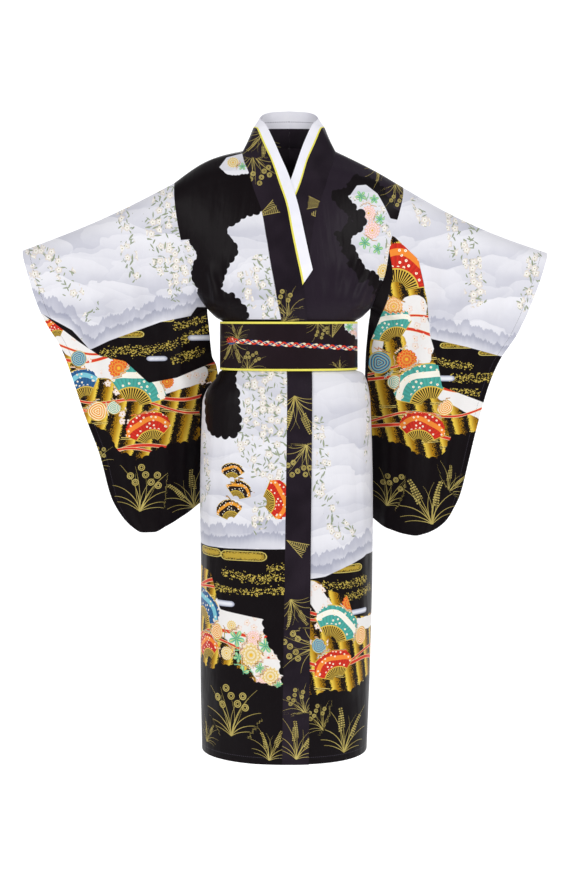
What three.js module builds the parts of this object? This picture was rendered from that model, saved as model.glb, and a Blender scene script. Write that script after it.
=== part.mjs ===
// A long-sleeved satin yukata in its worn form, wearer's right front over left, with its belt.
// Millimetres, +Z up. The front faces -Y and the wearer's right side is at -X.
// The origin is at the base of the neck, level with the inner ends of the shoulders.
import * as THREE from 'three';

// Cloth and seams
const CLOTH = 1.6;        // wall of the robe's cloth
const BELT_CLOTH = 2.6;   // wall of the stiffened belt
const SEAM_GAP = 0.4;     // air between two edges that are sewn together
const OVERLAP = 2.4;      // how far the over front stands out from the under front

// Heights
const HEM_Z = -1263;
const ARMPIT_Z = -329;
const BELT_TOP_Z = -357;
const BELT_BOTTOM_Z = -459;
const BELT_GRIP = 1;      // the cloth is drawn in this far beyond the belt's edges
const BELT_BLOUSE = 4;    // and blouses out from here
const SKIRT_TOP_Z = -530; // the hips, where the cloth has spread from under the belt
const PIPING = 4.3;       // height of the yellow edges

// Collar: distances along its seam, counted from the shoulder: negative to the centre back,
// and down the front the depth below the origin.
const CENTRE_BACK = -130;
const BACK_NECK_Z = 21;
const BAND_WIDTH = 53;
const STRIP_WIDTH = 28.5; // piping and white strip together
const STRIP_FOOT = { atBand: 289, atEdge: 264 };  // the white strip's mitred foot
const LIFT_START = 0;     // the over front starts to rise here
const LIFT_FULL = 70;     // and lies a whole layer out from here on

// Sleeve
const SLEEVE_DROP = 670;  // from the fold at the top to the foot, along the inner edge
const CUFF_OPENING = 230;
const FLAT_LAYERS = 2 * CLOTH + SEAM_GAP;  // least distance between the outer faces of two layers

// Sections of the worn body. right and left are the half widths at the side seams,
// front and back the depths at the centre. Above the armpit the widths are those at the armholes.
const SECTIONS = [
  { z: 60, right: 246, left: 246, front: 20, back: 45 },
  { z: 0, right: 246, left: 246, front: 45, back: 64 },
  { z: -40, right: 245, left: 245, front: 58, back: 74 },
  { z: -84, right: 243, left: 242, front: 76, back: 82 },
  { z: -129, right: 238, left: 232, front: 91, back: 90 },
  { z: -185, right: 228, left: 215, front: 104, back: 96 },
  { z: -259, right: 209, left: 202, front: 112, back: 98 },
  { z: -296, right: 195, left: 186, front: 111, back: 98 },
  { z: ARMPIT_Z, right: 175, left: 174, front: 107, back: 97 },
  { z: -341, right: 164, left: 163, front: 103, back: 96 },
  { z: BELT_TOP_Z + 2 * BELT_BLOUSE, right: 155, left: 154, front: 99, back: 95 },
  { z: BELT_TOP_Z + BELT_BLOUSE, right: 148, left: 147, front: 96, back: 94 },
  { z: BELT_TOP_Z + BELT_GRIP, right: 142, left: 141, front: 94, back: 92 },
  { z: BELT_BOTTOM_Z - BELT_GRIP, right: 142, left: 141, front: 94, back: 92 },
  { z: BELT_BOTTOM_Z - BELT_BLOUSE, right: 148, left: 151, front: 96, back: 94 },
  { z: BELT_BOTTOM_Z - 2 * BELT_BLOUSE, right: 150, left: 158, front: 98, back: 97 },
  { z: -478, right: 156, left: 164, front: 103, back: 102 },
  { z: -490, right: 167, left: 168, front: 107, back: 108 },
  { z: -505, right: 177, left: 171, front: 111, back: 113 },
  { z: SKIRT_TOP_Z, right: 185, left: 174, front: 115, back: 119 },
  { z: -740, right: 190, left: 179, front: 127, back: 132 },
  { z: -880, right: 188, left: 178, front: 131, back: 136 },
  { z: -1080, right: 189, left: 173, front: 133, back: 137 },
  { z: HEM_Z, right: 186, left: 166, front: 132, back: 133 },
];
const SIDE_ROUNDNESS = 2.3;      // exponent of the body's oval
const SHOULDER_FLATNESS = 2.2;   // exponent of a front that runs on into a sleeve

// Rows across the collar, for the wearer's right side. The seam joins the body, the band ends at the
// piping and the strip is the white edge. Rows with no y lie on the chest.
const COLLAR = [
  { along: CENTRE_BACK, seam: [0, 60, BACK_NECK_Z], band: [0, 57, 63], strip: [0, 54, 101] },
  { along: -85, seam: [-45, 54, 20], band: [-41, 51, 62], strip: [-36, 47, 98] },
  { along: -50, seam: [-78, 36, 16], band: [-68, 34, 60], strip: [-57, 31, 90] },
  { along: -25, seam: [-95, 14, 11], band: [-77, 13, 59], strip: [-63, 10, 79] },
  { along: 0, seam: [-100, -8, 4], band: [-70, -12, 56], strip: [-50, -13, 64] },
  { along: 18, seam: [-95, -32, -18], band: [-53, -37, 17], strip: [-35, -33, 33] },
  { along: 40, seam: [-86, -53, -40], band: [-37, -54, -18], strip: [-19, -51, -4] },
  { along: 84, seam: [-72, -70, -84], band: [-21, -70, -64], strip: [3, -68, -54] },
  { along: 129, seam: [-56, null, -129], band: [-5, null, -115], strip: [18, null, -108] },
  { along: 180, seam: [-47, null, -180], band: [4.5, null, -168], strip: [29.5, null, -163] },
  { along: 229, seam: [-39, null, -229], band: [14.6, null, -218], strip: [40, null, -213] },
  { along: 289, seam: [-28, null, -289], band: [27.4, null, -281], strip: [54, null, -277] },
  { along: 330, seam: [-20.5, null, -330], band: [33.5, null, -328], strip: [60, null, -327] },
  { along: 349, seam: [-16.6, null, -349], band: [37, null, -349], strip: [63, null, -349] },
  { along: 400, seam: [-11, null, -400], band: [42.5, null, -400], strip: [68, null, -400] },
  { along: 477, seam: [-4, null, -477], band: [47.5, null, -477], strip: [74, null, -477] },
  { along: 800, seam: [-8, null, -800], band: [44.5, null, -800], strip: [71, null, -800] },
  { along: 1263, seam: [-14, null, -1263], band: [40, null, -1263], strip: [66, null, -1263] },
];
const NECK_ROWS = [CENTRE_BACK, -108, -85, -66, -50, -37, -25, -12];
const FOOT = 'foot';      // stands for the mitred last row of the strip
const NORMAL_REACH = { along: 3, part: 0.12 };
const CHEST_START = 30;   // the collar starts to lie on the chest here
const CHEST_FULL = 84;    // and lies on it from here on
// Where the fronts cross, the strip's free edge is drawn back from the middle, more on the left.
const DRAWN_BACK = { right: 2.3, left: 8.5 };
const DRAWN_AT = 84;
const DRAWN_BREADTH = 45;

const NECK_BLEND = 60;          // below the neck seam the back takes its own depth over this much
const ARMHOLE_DROP = 269;       // from the shoulder's tip to the armpit

// Rows of a body panel from the shoulder down: where the row starts on the collar seam or the
// centre back, and how far down the armhole it ends.
const FRONT_SHOULDER_ROWS = [
  { along: 0, drop: 0 }, { along: 10, drop: 3 }, { along: 24, drop: 10 }, { along: 42, drop: 21 },
  { along: 64, drop: 36 }, { along: 90, drop: 55 }, { along: 118, drop: 75 }, { along: 146, drop: 95 },
  { along: 175, drop: 117 }, { along: 202, drop: 142 }, { along: 229, drop: 169 },
  { along: 260, drop: 200 }, { along: 283, drop: 223 }, { along: 302, drop: 242 },
  { along: 316, drop: 256 }, { along: 325, drop: 265 }, { along: 329, drop: ARMHOLE_DROP },
];
const BACK_SHOULDER_ROWS = [
  { along: 0, drop: 0 }, { along: 14, drop: 3 }, { along: 30, drop: 10 }, { along: 50, drop: 21 },
  { along: 75, drop: 37 }, { along: 102, drop: 58 }, { along: 130, drop: 82 }, { along: 165, drop: 107 },
  { along: 200, drop: 131 }, { along: 250, drop: 162 }, { along: 300, drop: 192 },
  { along: 350, drop: 215 }, { along: 395, drop: 235 }, { along: 432, drop: 250 },
  { along: 460, drop: 261 }, { along: 474, drop: 267 }, { along: 480, drop: ARMHOLE_DROP },
];
// Below the armpit there is a row at each section down to the skirt's top, and one behind the
// middle of the belt. The skirt's rows are even.
const BELT_MIDDLE_Z = (BELT_TOP_Z + BELT_BOTTOM_Z) / 2;
const WAIST_ROWS = [...SECTIONS.map((row) => row.z), BELT_MIDDLE_Z]
  .filter((z) => z < ARMPIT_Z && z >= SKIRT_TOP_Z)
  .sort((a, b) => b - a);
const SKIRT_ROWS = 13;
const PANEL_COLUMNS = 11;

// Armholes and sleeves, each in its own side's outward distance.
const ARMHOLE_ROUND = 60;       // height of the round top of the armhole
const ARMHOLE_CLOSING = 190;    // from here down the armhole closes to the armpit
const ARMHOLE_FRONT = 47;
const ARMHOLE_BACK = 55;
const HIGHEST_TIP_Z = ARMPIT_Z + ARMHOLE_DROP;
// crown is how far the shoulder line rises above a straight one, dip how far its tip hangs lower
const SHOULDERS = {
  right: { crown: 15, dip: 0 },
  left: { crown: 4, dip: 10 },
};
const CROWN_ENDS = 60;          // the drops at which the crown and the dip have run out
const DIP_ENDS = 160;

const SLEEVES = {
  right: {
    // the free inner edge below the armpit, by drop
    inner: [
      { drop: ARMHOLE_DROP, x: 175, behind: 0 }, { drop: 310, x: 173, behind: 16 },
      { drop: 370, x: 169, behind: 52 }, { drop: 392, x: 160, behind: 66 }, { drop: 420, x: 157, behind: 82 },
      { drop: 460, x: 160, behind: 94 }, { drop: 540, x: 166, behind: 100 },
      { drop: SLEEVE_DROP, x: 172, behind: 96 },
    ],
    outer: [
      { part: 0, x: 566, z: -205 }, { part: 0.21, x: 525, z: -338 }, { part: 0.37, x: 481, z: -424 },
      { part: 0.58, x: 436, z: -554 }, { part: 0.73, x: 403, z: -642 }, { part: 0.88, x: 379, z: -730 },
      { part: 0.945, x: 365, z: -758 }, { part: 1, x: 351, z: -778 },
    ],
    foot: [
      { part: 0, x: 172, z: -736 }, { part: 0.1, x: 190, z: -750 }, { part: 0.3, x: 227, z: -776 },
      { part: 0.5, x: 263, z: -796 }, { part: 0.65, x: 289, z: -807 }, { part: 0.8, x: 315, z: -806 },
      { part: 0.92, x: 336, z: -793 }, { part: 1, x: 351, z: -778 },
    ],
    topSag: 8,
  },
  left: {
    inner: [
      { drop: ARMHOLE_DROP, x: 174, behind: 0 }, { drop: 310, x: 171, behind: 18 },
      { drop: 370, x: 168, behind: 54 }, { drop: 420, x: 168, behind: 80 }, { drop: 460, x: 163, behind: 92 },
      { drop: 540, x: 160, behind: 100 }, { drop: SLEEVE_DROP, x: 160, behind: 98 },
    ],
    outer: [
      { part: 0, x: 548, z: -210 }, { part: 0.2, x: 519, z: -302 }, { part: 0.35, x: 490, z: -377 },
      { part: 0.5, x: 448, z: -441 }, { part: 0.62, x: 426, z: -492 }, { part: 0.78, x: 397, z: -595 },
      { part: 0.87, x: 382, z: -657 }, { part: 0.95, x: 364, z: -727 }, { part: 1, x: 344, z: -768 },
    ],
    foot: [
      { part: 0, x: 160, z: -762 }, { part: 0.13, x: 184, z: -787 }, { part: 0.33, x: 217, z: -806 },
      { part: 0.58, x: 267, z: -815 }, { part: 0.8, x: 309, z: -801 }, { part: 0.92, x: 331, z: -785 },
      { part: 1, x: 344, z: -768 },
    ],
    topSag: 12,
  },
};
const SLEEVE_COLUMNS = 12;
const SLEEVE_LOWER_ROWS = 10;   // from the armpit to the foot
const ARM_AT_SHOULDER = ARMHOLE_FRONT + ARMHOLE_BACK;
const ARM_AT_CUFF = 70;
const CUFF_FORWARD = 12;        // how far the cuff's middle lies in front of the shoulder's
const BAG_DEPTH = 20;           // thickness of the hanging part of a sleeve

// Soft folds, pressed out of the cloth along straight lines: from (x, z) to (x, z) on the front or
// the back, with a width across and a height. The x is positive outward on the named side.
const BODY_FOLDS = [
  { side: 'left', face: 'front', from: [150, -190], to: [108, -346], width: 11, height: 6 },
  { side: 'left', face: 'front', from: [176, -235], to: [128, -347], width: 9, height: 6 },
  { side: 'left', face: 'front', from: [104, -215], to: [88, -346], width: 11, height: 4 },
  { side: 'right', face: 'front', from: [168, -225], to: [141, -347], width: 10, height: 7 },
  { side: 'right', face: 'front', from: [128, -200], to: [118, -346], width: 11, height: 4 },
  { side: 'right', face: 'front', from: [128, -500], to: [136, -1180], width: 26, height: 5 },
  { side: 'left', face: 'front', from: [118, -520], to: [124, -1150], width: 24, height: 5 },
  { side: 'right', face: 'back', from: [150, -215], to: [112, -346], width: 12, height: 6 },
  { side: 'left', face: 'back', from: [150, -215], to: [112, -346], width: 12, height: 6 },
  { side: 'right', face: 'back', from: [90, -500], to: [105, -1200], width: 28, height: 6 },
  { side: 'left', face: 'back', from: [96, -500], to: [90, -1200], width: 28, height: 6 },
];
// Hanging folds of a sleeve: they run down from the top fold, at a part of the width.
const SLEEVE_FOLDS = [
  { at: 0.16, lean: 0.12, width: 0.055, height: 7 },
  { at: 0.38, lean: 0.06, width: 0.07, height: 5 },
  { at: 0.62, lean: -0.02, width: 0.08, height: 6 },
  { at: 0.84, lean: -0.08, width: 0.06, height: 5 },
];

// --- curves -------------------------------------------------------------------------------------

const mix = (a, b, part) => a + (b - a) * part;
const clamp01 = (value) => Math.min(1, Math.max(0, value));

function smooth(from, to, value) {
  const part = clamp01((value - from) / (to - from));
  return part * part * (3 - 2 * part);
}

// A curve through points that never swings past them: cubic pieces whose slopes are held back
// wherever a neighbouring step is flat or turns.
function steadyCurve(at, values) {
  const last = at.length - 1;
  const steps = [];
  for (let i = 0; i < last; i += 1) {
    steps.push((values[i + 1] - values[i]) / (at[i + 1] - at[i]));
  }
  const slopes = at.map((_, i) => {
    if (i === 0) return steps[0];
    if (i === last) return steps[last - 1];
    const before = steps[i - 1];
    const after = steps[i];
    return before * after <= 0 ? 0 : (2 * before * after) / (before + after);
  });
  return (where) => {
    let i = 0;
    while (i < last - 1 && where > at[i + 1]) i += 1;
    const span = at[i + 1] - at[i];
    const t = clamp01((where - at[i]) / span);
    const rise = values[i + 1] - values[i];
    const start = slopes[i] * span;
    const end = slopes[i + 1] * span;
    return values[i] + t * (start + t * (3 * rise - 2 * start - end + t * (start + end - 2 * rise)));
  };
}

function tableCurve(rows, key, column) {
  const sorted = [...rows].sort((a, b) => a[key] - b[key]);
  return steadyCurve(sorted.map((row) => row[key]), sorted.map((row) => row[column]));
}

const width = {
  right: tableCurve(SECTIONS, 'z', 'right'),
  left: tableCurve(SECTIONS, 'z', 'left'),
};
const frontDepth = tableCurve(SECTIONS, 'z', 'front');
const backDepth = tableCurve(SECTIONS, 'z', 'back');

// --- the body's surface ---------------------------------------------------------------------------

// Depth of the armhole's edge from the side line, at a drop below the shoulder tip: a round top,
// a straight middle and a round foot.
function armholeDepth(drop, most) {
  const top = clamp01(drop / ARMHOLE_ROUND);
  const foot = clamp01((drop - ARMHOLE_CLOSING) / (ARMHOLE_DROP - ARMHOLE_CLOSING));
  return most * Math.sqrt(1 - (1 - top) ** 2) * Math.sqrt(1 - foot ** 2);
}

// 1 where the front runs on into the sleeve, 0 where it rounds to the side seam.
const intoSleeve = (z) => smooth(ARMPIT_Z + 4, ARMPIT_Z + 70, z);

// How far the cloth is in from its edge's depth to the centre's, across the width (0 centre, 1 edge).
function crossProfile(across, z) {
  const u = clamp01(Math.abs(across));
  const oval = (1 - u ** SIDE_ROUNDNESS) ** (1 / SIDE_ROUNDNESS);
  const open = 1 - u ** SHOULDER_FLATNESS;
  return mix(oval, open, intoSleeve(z));
}

// Depth of the front's surface at a point of the chest or skirt.
function chestY(x, z) {
  const edge = armholeDepth(HIGHEST_TIP_Z - z, ARMHOLE_FRONT);
  const across = x / width[x < 0 ? 'right' : 'left'](z);
  return -(edge + (frontDepth(z) - edge) * crossProfile(across, z));
}

const collarCurves = ['seam', 'band', 'strip'].map((column) => [0, 1, 2].map((axis) => steadyCurve(
  COLLAR.map((row) => row.along),
  COLLAR.map((row) => row[column][axis] ?? 0),
)));

// A point of the collar on the wearer's right: part 0 is its seam, 1 the band's edge at the piping,
// 2 the free edge of the white strip.
function collarPoint(along, part, side = 'right') {
  const from = collarCurves[part < 1 ? 0 : 1].map((curve) => curve(along));
  const to = collarCurves[part < 1 ? 1 : 2].map((curve) => curve(along));
  const [level, standing, z] = from.map((value, axis) => mix(value, to[axis], part < 1 ? part : part - 1));
  const x = level - DRAWN_BACK[side] * (part / 2) * Math.exp(-(((along - DRAWN_AT) / DRAWN_BREADTH) ** 2));
  const lies = smooth(CHEST_START, CHEST_FULL, along);
  return [x, mix(standing, chestY(x, z), lies), z];
}

// How far a point of the over front lies out from the under front's surface.
const liftOver = (x, along) => OVERLAP * smooth(-150, -62, x) * smooth(LIFT_START, LIFT_FULL, along);

// --- grids and solids -------------------------------------------------------------------------------

const gridOf = (rows, columns, point) => rows.map((row) => columns.map((column) => point(row, column)));

function normalsOf(grid) {
  const lastRow = grid.length - 1;
  const lastColumn = grid[0].length - 1;
  const vector = (a, b) => new THREE.Vector3(b[0] - a[0], b[1] - a[1], b[2] - a[2]);
  return grid.map((row, i) => row.map((_, j) => {
    const down = vector(grid[Math.max(0, i - 1)][j], grid[Math.min(lastRow, i + 1)][j]);
    const over = vector(grid[i][Math.max(0, j - 1)], grid[i][Math.min(lastColumn, j + 1)]);
    return down.normalize().cross(over.normalize()).normalize();
  }));
}

// The grid moved along its normals by lift(point, i, j).
function movedOut(grid, normals, lift) {
  return grid.map((row, i) => row.map((point, j) => {
    const out = lift(point, i, j);
    const n = normals[i][j];
    return [point[0] + n.x * out, point[1] + n.y * out, point[2] + n.z * out];
  }));
}

// A closed wall: the outer grid, the inner grid a wall's thickness in, and a rim round the edge.
// facing is 1 where rows crossed with columns points outward, else -1.
function wall(outer, normals, thickness, facing) {
  const inner = movedOut(outer, normals, () => -thickness);
  const rows = outer.length;
  const columns = outer[0].length;
  const positions = [...outer.flat(), ...inner.flat()].flat();
  const index = [];
  const corner = (layer, i, j) => layer * rows * columns + i * columns + j;
  const quad = (a, b, c, d) => {
    index.push(...(facing > 0 ? [a, b, c, a, c, d] : [a, c, b, a, d, c]));
  };
  for (let i = 0; i < rows - 1; i += 1) {
    for (let j = 0; j < columns - 1; j += 1) {
      quad(corner(0, i, j), corner(0, i + 1, j), corner(0, i + 1, j + 1), corner(0, i, j + 1));
      quad(corner(1, i, j), corner(1, i, j + 1), corner(1, i + 1, j + 1), corner(1, i + 1, j));
    }
  }
  for (let i = 0; i < rows - 1; i += 1) {
    quad(corner(0, i, 0), corner(1, i, 0), corner(1, i + 1, 0), corner(0, i + 1, 0));
    const end = columns - 1;
    quad(corner(0, i, end), corner(0, i + 1, end), corner(1, i + 1, end), corner(1, i, end));
  }
  for (let j = 0; j < columns - 1; j += 1) {
    quad(corner(0, 0, j), corner(0, 0, j + 1), corner(1, 0, j + 1), corner(1, 0, j));
    const end = rows - 1;
    quad(corner(0, end, j), corner(1, end, j), corner(1, end, j + 1), corner(0, end, j + 1));
  }
  const geometry = new THREE.BufferGeometry();
  geometry.setAttribute('position', new THREE.Float32BufferAttribute(positions, 3));
  geometry.setIndex(index);
  return geometry;
}

const ON_CENTRE = 1;  // points this near the centre plane count as on it

// A wall whose outer surface is the grid moved out by lift. On the centre plane it is thickened
// along that plane, so that the two sides stay apart.
function clothWall(grid, lift, thickness, facing) {
  const normals = normalsOf(grid).map((row, i) => row.map((n, j) => {
    if (Math.abs(grid[i][j][0]) < ON_CENTRE) n.setX(0).normalize();
    return n.multiplyScalar(facing);
  }));
  return wall(movedOut(grid, normals, lift), normals, thickness, facing);
}

const steps = (count) => Array.from({ length: count + 1 }, (_, i) => i / count);

// --- body panels ------------------------------------------------------------------------------------

function foldHeight(side, face, x, z) {
  let height = 0;
  for (const fold of BODY_FOLDS) {
    if (fold.side === side && fold.face === face) {
      const [x0, z0] = fold.from;
      const [x1, z1] = fold.to;
      const length = Math.hypot(x1 - x0, z1 - z0);
      const along = ((x - x0) * (x1 - x0) + (z - z0) * (z1 - z0)) / length;
      const off = ((x - x0) * (z1 - z0) - (z - z0) * (x1 - x0)) / length;
      const ends = smooth(0, 0.35 * length, along) * smooth(0, Math.min(40, 0.3 * length), length - along);
      height += fold.height * Math.exp(-((off / fold.width) ** 2)) * ends;
    }
  }
  return height;
}

// Where the armhole's edge is, in the side's outward distance.
function armholeEdge(side, face, drop) {
  const z = HIGHEST_TIP_Z - drop - SHOULDERS[side].dip * (1 - smooth(0, DIP_ENDS, drop));
  const depth = Math.max(SEAM_GAP / 2, armholeDepth(drop, face === 'front' ? ARMHOLE_FRONT : ARMHOLE_BACK));
  return [width[side](z), face === 'front' ? -depth : depth, z];
}

// The inner end of a panel's row, in the side's outward distance.
function innerEdge(face, along) {
  if (face === 'front') {
    const [x, y, z] = collarPoint(along, 0);
    return [-x, y, z];
  }
  if (along <= -CENTRE_BACK) {
    const [x, y, z] = collarPoint(-along, 0);
    return [Math.max(SEAM_GAP / 2, -x), y, z];
  }
  const z = BACK_NECK_Z - (along + CENTRE_BACK);
  const neckY = collarPoint(CENTRE_BACK, 0)[1];
  return [SEAM_GAP / 2, mix(neckY, backDepth(z), smooth(0, NECK_BLEND, along + CENTRE_BACK)), z];
}

// One point of a panel: row gives the inner and the outer end, part runs from 0 inside to 1 outside.
function panelPoint(side, row, part) {
  const [innerX, innerY, innerZ] = innerEdge(row.face, row.along);
  const [outerX, outerY, outerZ] = row.drop === null
    ? [width[side](innerZ), (row.face === 'front' ? -1 : 1) * SEAM_GAP / 2, innerZ]
    : armholeEdge(side, row.face, row.drop);
  const start = innerX / outerX;
  const open = intoSleeve(outerZ);
  const angle = mix(Math.asin(start ** (SIDE_ROUNDNESS / 2)), Math.PI / 2, part);
  const across = mix(Math.sin(angle) ** (2 / SIDE_ROUNDNESS), mix(start, 1, part), open);
  const reach = clamp01((across - start) / (1 - start));
  const z = mix(innerZ, outerZ, reach);
  const profile = crossProfile(across, outerZ) / crossProfile(start, outerZ);
  const y = outerY + (innerY - outerY) * profile;
  const fade = 1 - smooth(0, CROWN_ENDS, row.drop ?? CROWN_ENDS);
  const crown = SHOULDERS[side].crown * Math.sin(Math.PI * reach) * fade;
  return [across * outerX, y, z + crown];
}

function bodyPanel(side) {
  const skirt = steps(SKIRT_ROWS).slice(1).map((part) => mix(WAIST_ROWS.at(-1), HEM_Z, part));
  const below = [...WAIST_ROWS, ...skirt];
  const front = FRONT_SHOULDER_ROWS.map((row) => ({ ...row, face: 'front' }));
  const back = BACK_SHOULDER_ROWS.slice(1).map((row) => ({ ...row, face: 'back' }));
  const rows = [
    ...below.map((z) => ({ face: 'front', along: -z, drop: null })).reverse(),
    ...front.reverse(),
    ...back,
    ...below.map((z) => ({ face: 'back', along: BACK_NECK_Z - z - CENTRE_BACK, drop: null })),
  ];
  const sign = side === 'right' ? -1 : 1;
  const gapAt = (row) => (row.face === 'front' || row.along <= -CENTRE_BACK ? SEAM_GAP / 2 : 0);
  const grid = gridOf(rows, steps(PANEL_COLUMNS), (row, part) => {
    const [x, y, z] = panelPoint(side, row, part);
    return [sign * (x + gapAt(row) * (1 - part)), y, z];
  });
  const lift = (point, i) => {
    const row = rows[i];
    const fold = foldHeight(side, row.face, Math.abs(point[0]), point[2]);
    const over = side === 'right' && row.face === 'front' ? liftOver(point[0], row.along) : 0;
    return fold + over;
  };
  return clothWall(grid, lift, CLOTH, -sign);
}

// --- collar -----------------------------------------------------------------------------------------

// The outward normal of the collar. It is taken over a breadth of the collar, so that the band and
// the white strip share one at the piping, where the collar rolls over.
function collarNormal(along, part, side) {
  const lower = collarPoint(along - NORMAL_REACH.along, part, side);
  const further = collarPoint(along + NORMAL_REACH.along, part, side);
  const inner = collarPoint(along, Math.max(0, part - NORMAL_REACH.part), side);
  const outer = collarPoint(along, Math.min(2, part + NORMAL_REACH.part), side);
  const down = new THREE.Vector3(...further).sub(new THREE.Vector3(...lower));
  const over = new THREE.Vector3(...outer).sub(new THREE.Vector3(...inner));
  return down.cross(over).normalize();
}

// A strip along the collar between two parts of its width. Its last row may be the mitred foot.
function collarPiece(side, fromPart, toPart, rows, columns) {
  const sign = side === 'right' ? 1 : -1;
  const place = (row, step) => {
    const part = mix(fromPart, toPart, step);
    return [row === FOOT ? footOfStrip(part) : row, part];
  };
  const grid = gridOf(rows, steps(columns), (row, step) => {
    const [along, part] = place(row, step);
    const [x, y, z] = collarPoint(along, part, side);
    return [sign * (along < 0 ? Math.min(x, -SEAM_GAP / 2) : x), y, z];
  });
  const normals = gridOf(rows, steps(columns), (row, step) => {
    const n = collarNormal(...place(row, step), side);
    return row === CENTRE_BACK ? n.setX(0).normalize() : n.setX(sign * n.x);
  });
  const lift = (point, i, j) => (side === 'left' ? 0 : liftOver(point[0], place(rows[i], j / columns)[0]));
  return wall(movedOut(grid, normals, lift), normals, CLOTH, sign);
}

const footOfStrip = (part) => mix(STRIP_FOOT.atBand, STRIP_FOOT.atEdge, part - 1);
const chestRows = FRONT_SHOULDER_ROWS.map((row) => row.along);
const skirtRows = steps(SKIRT_ROWS).slice(1).map((part) => -mix(WAIST_ROWS.at(-1), HEM_Z, part));
const BAND_ROWS = [...NECK_ROWS, ...chestRows, ...WAIST_ROWS.map((z) => -z), ...skirtRows];
const STRIP_ROWS = [...NECK_ROWS, ...chestRows.filter((along) => along < STRIP_FOOT.atEdge), FOOT];

// --- sleeves ----------------------------------------------------------------------------------------

const HELD_PART = 0.3;          // part of the sleeve's width that the armhole shapes
const RELEASE = 45;             // below the armpit the inner edge comes free over this drop
const BAG_STARTS = 70;          // drops between which the arm's tube flattens to the hanging bag
const BAG_FLAT = 250;
const CUFF_ROUND = 34;          // height of the round top at the cuff
const SEAM_CLOSES = 40;         // the layers come together over about this much above a seam

function sleeveSurface(side) {
  const shape = SLEEVES[side];
  const freeX = tableCurve(shape.inner, 'drop', 'x');
  const behind = tableCurve(shape.inner, 'drop', 'behind');
  const outer = ['x', 'z'].map((column) => tableCurve(shape.outer, 'part', column));
  const foot = ['x', 'z'].map((column) => tableCurve(shape.foot, 'part', column));
  const [tipX, , tipZ] = armholeEdge(side, 'front', 0);
  const tip = [tipX + SEAM_GAP, tipZ];
  const footZ = shape.foot[0].z;
  const corner = [shape.outer[0].x, shape.outer[0].z];

  function innerLine(drop) {
    if (drop <= ARMHOLE_DROP) {
      const [x, , z] = armholeEdge(side, 'front', drop);
      return [x + SEAM_GAP * (1 + 2 * smooth(ARMHOLE_CLOSING, ARMHOLE_DROP, drop)), z];
    }
    const part = (drop - ARMHOLE_DROP) / (SLEEVE_DROP - ARMHOLE_DROP);
    const start = armholeEdge(side, 'front', ARMHOLE_DROP)[0] + 3 * SEAM_GAP;
    return [mix(start, freeX(drop), smooth(0, 0.06, part)), mix(ARMPIT_Z, footZ, part)];
  }
  function topLine(across) {
    const sag = shape.topSag * Math.sin(Math.PI * across);
    return [mix(tip[0], corner[0], across), mix(tip[1], corner[1], across) - sag];
  }
  // Distance between the outer faces of the front and the back layer.
  function thickness(across, drop) {
    const part = drop / SLEEVE_DROP;
    const round = Math.sqrt(1 - (1 - clamp01(drop / mix(ARMHOLE_ROUND, CUFF_ROUND, across))) ** 2);
    const arm = mix(ARM_AT_SHOULDER, ARM_AT_CUFF, across);
    const bag = BAG_DEPTH * (0.6 + 0.4 * Math.sin(Math.PI * across));
    const lower = mix(arm, bag, smooth(BAG_STARTS, BAG_FLAT, drop));
    const cuffSeam = 1 - across ** 5 * smooth(CUFF_OPENING - SEAM_CLOSES, CUFF_OPENING, drop);
    const footSeam = Math.sqrt(1 - part ** 7);
    return Math.max(FLAT_LAYERS, lower * round * cuffSeam * footSeam);
  }
  // The middle between the layers.
  function middle(across, drop) {
    const start = (ARMHOLE_BACK - ARMHOLE_FRONT) / 2;
    const arm = mix(start, -CUFF_FORWARD, smooth(0, 1, across));
    const curl = drop <= ARMHOLE_DROP ? 0 : behind(drop) * (1 - across) ** 2.4;
    const hang = smooth(0.05, 0.3, drop / SLEEVE_DROP);
    let folds = 0;
    for (const fold of SLEEVE_FOLDS) {
      const off = across - fold.at - fold.lean * (drop / SLEEVE_DROP);
      folds -= fold.height * Math.exp(-((off / fold.width) ** 2)) * hang;
    }
    return arm + curl + folds * smooth(0, 0.12, across);
  }
  // drop is positive on the front layer and negative on the back one.
  return (signedDrop, across) => {
    const drop = Math.abs(signedDrop);
    const face = signedDrop >= 0 ? -1 : 1;
    const down = drop / SLEEVE_DROP;
    const inner = innerLine(drop);
    const top = topLine(across);
    const [x, z] = [0, 1].map((axis) => {
      const straight = mix(inner[axis], outer[axis](down), across);
      const bowed = mix(top[axis], foot[axis](across), down);
      const atTop = mix(tip[axis], corner[axis], across);
      const atFoot = mix(axis ? footZ : shape.foot[0].x, foot[axis](1), across);
      return straight + bowed - mix(atTop, atFoot, down);
    });
    // at the armhole the cloth is held to the body's edge, further out it hangs free
    const hold = (1 - smooth(0, HELD_PART, across))
      * (1 - smooth(ARMHOLE_DROP, ARMHOLE_DROP + RELEASE, drop));
    const depth = drop === 0 ? 0 : face * thickness(across, drop) / 2;
    const most = face < 0 ? ARMHOLE_FRONT : ARMHOLE_BACK;
    const sewn = drop === 0 ? 0
      : face * Math.max(FLAT_LAYERS / 2, armholeDepth(Math.min(drop, ARMHOLE_DROP), most));
    return [x, mix(middle(across, drop) + depth, sewn, hold), z];
  };
}

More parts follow.
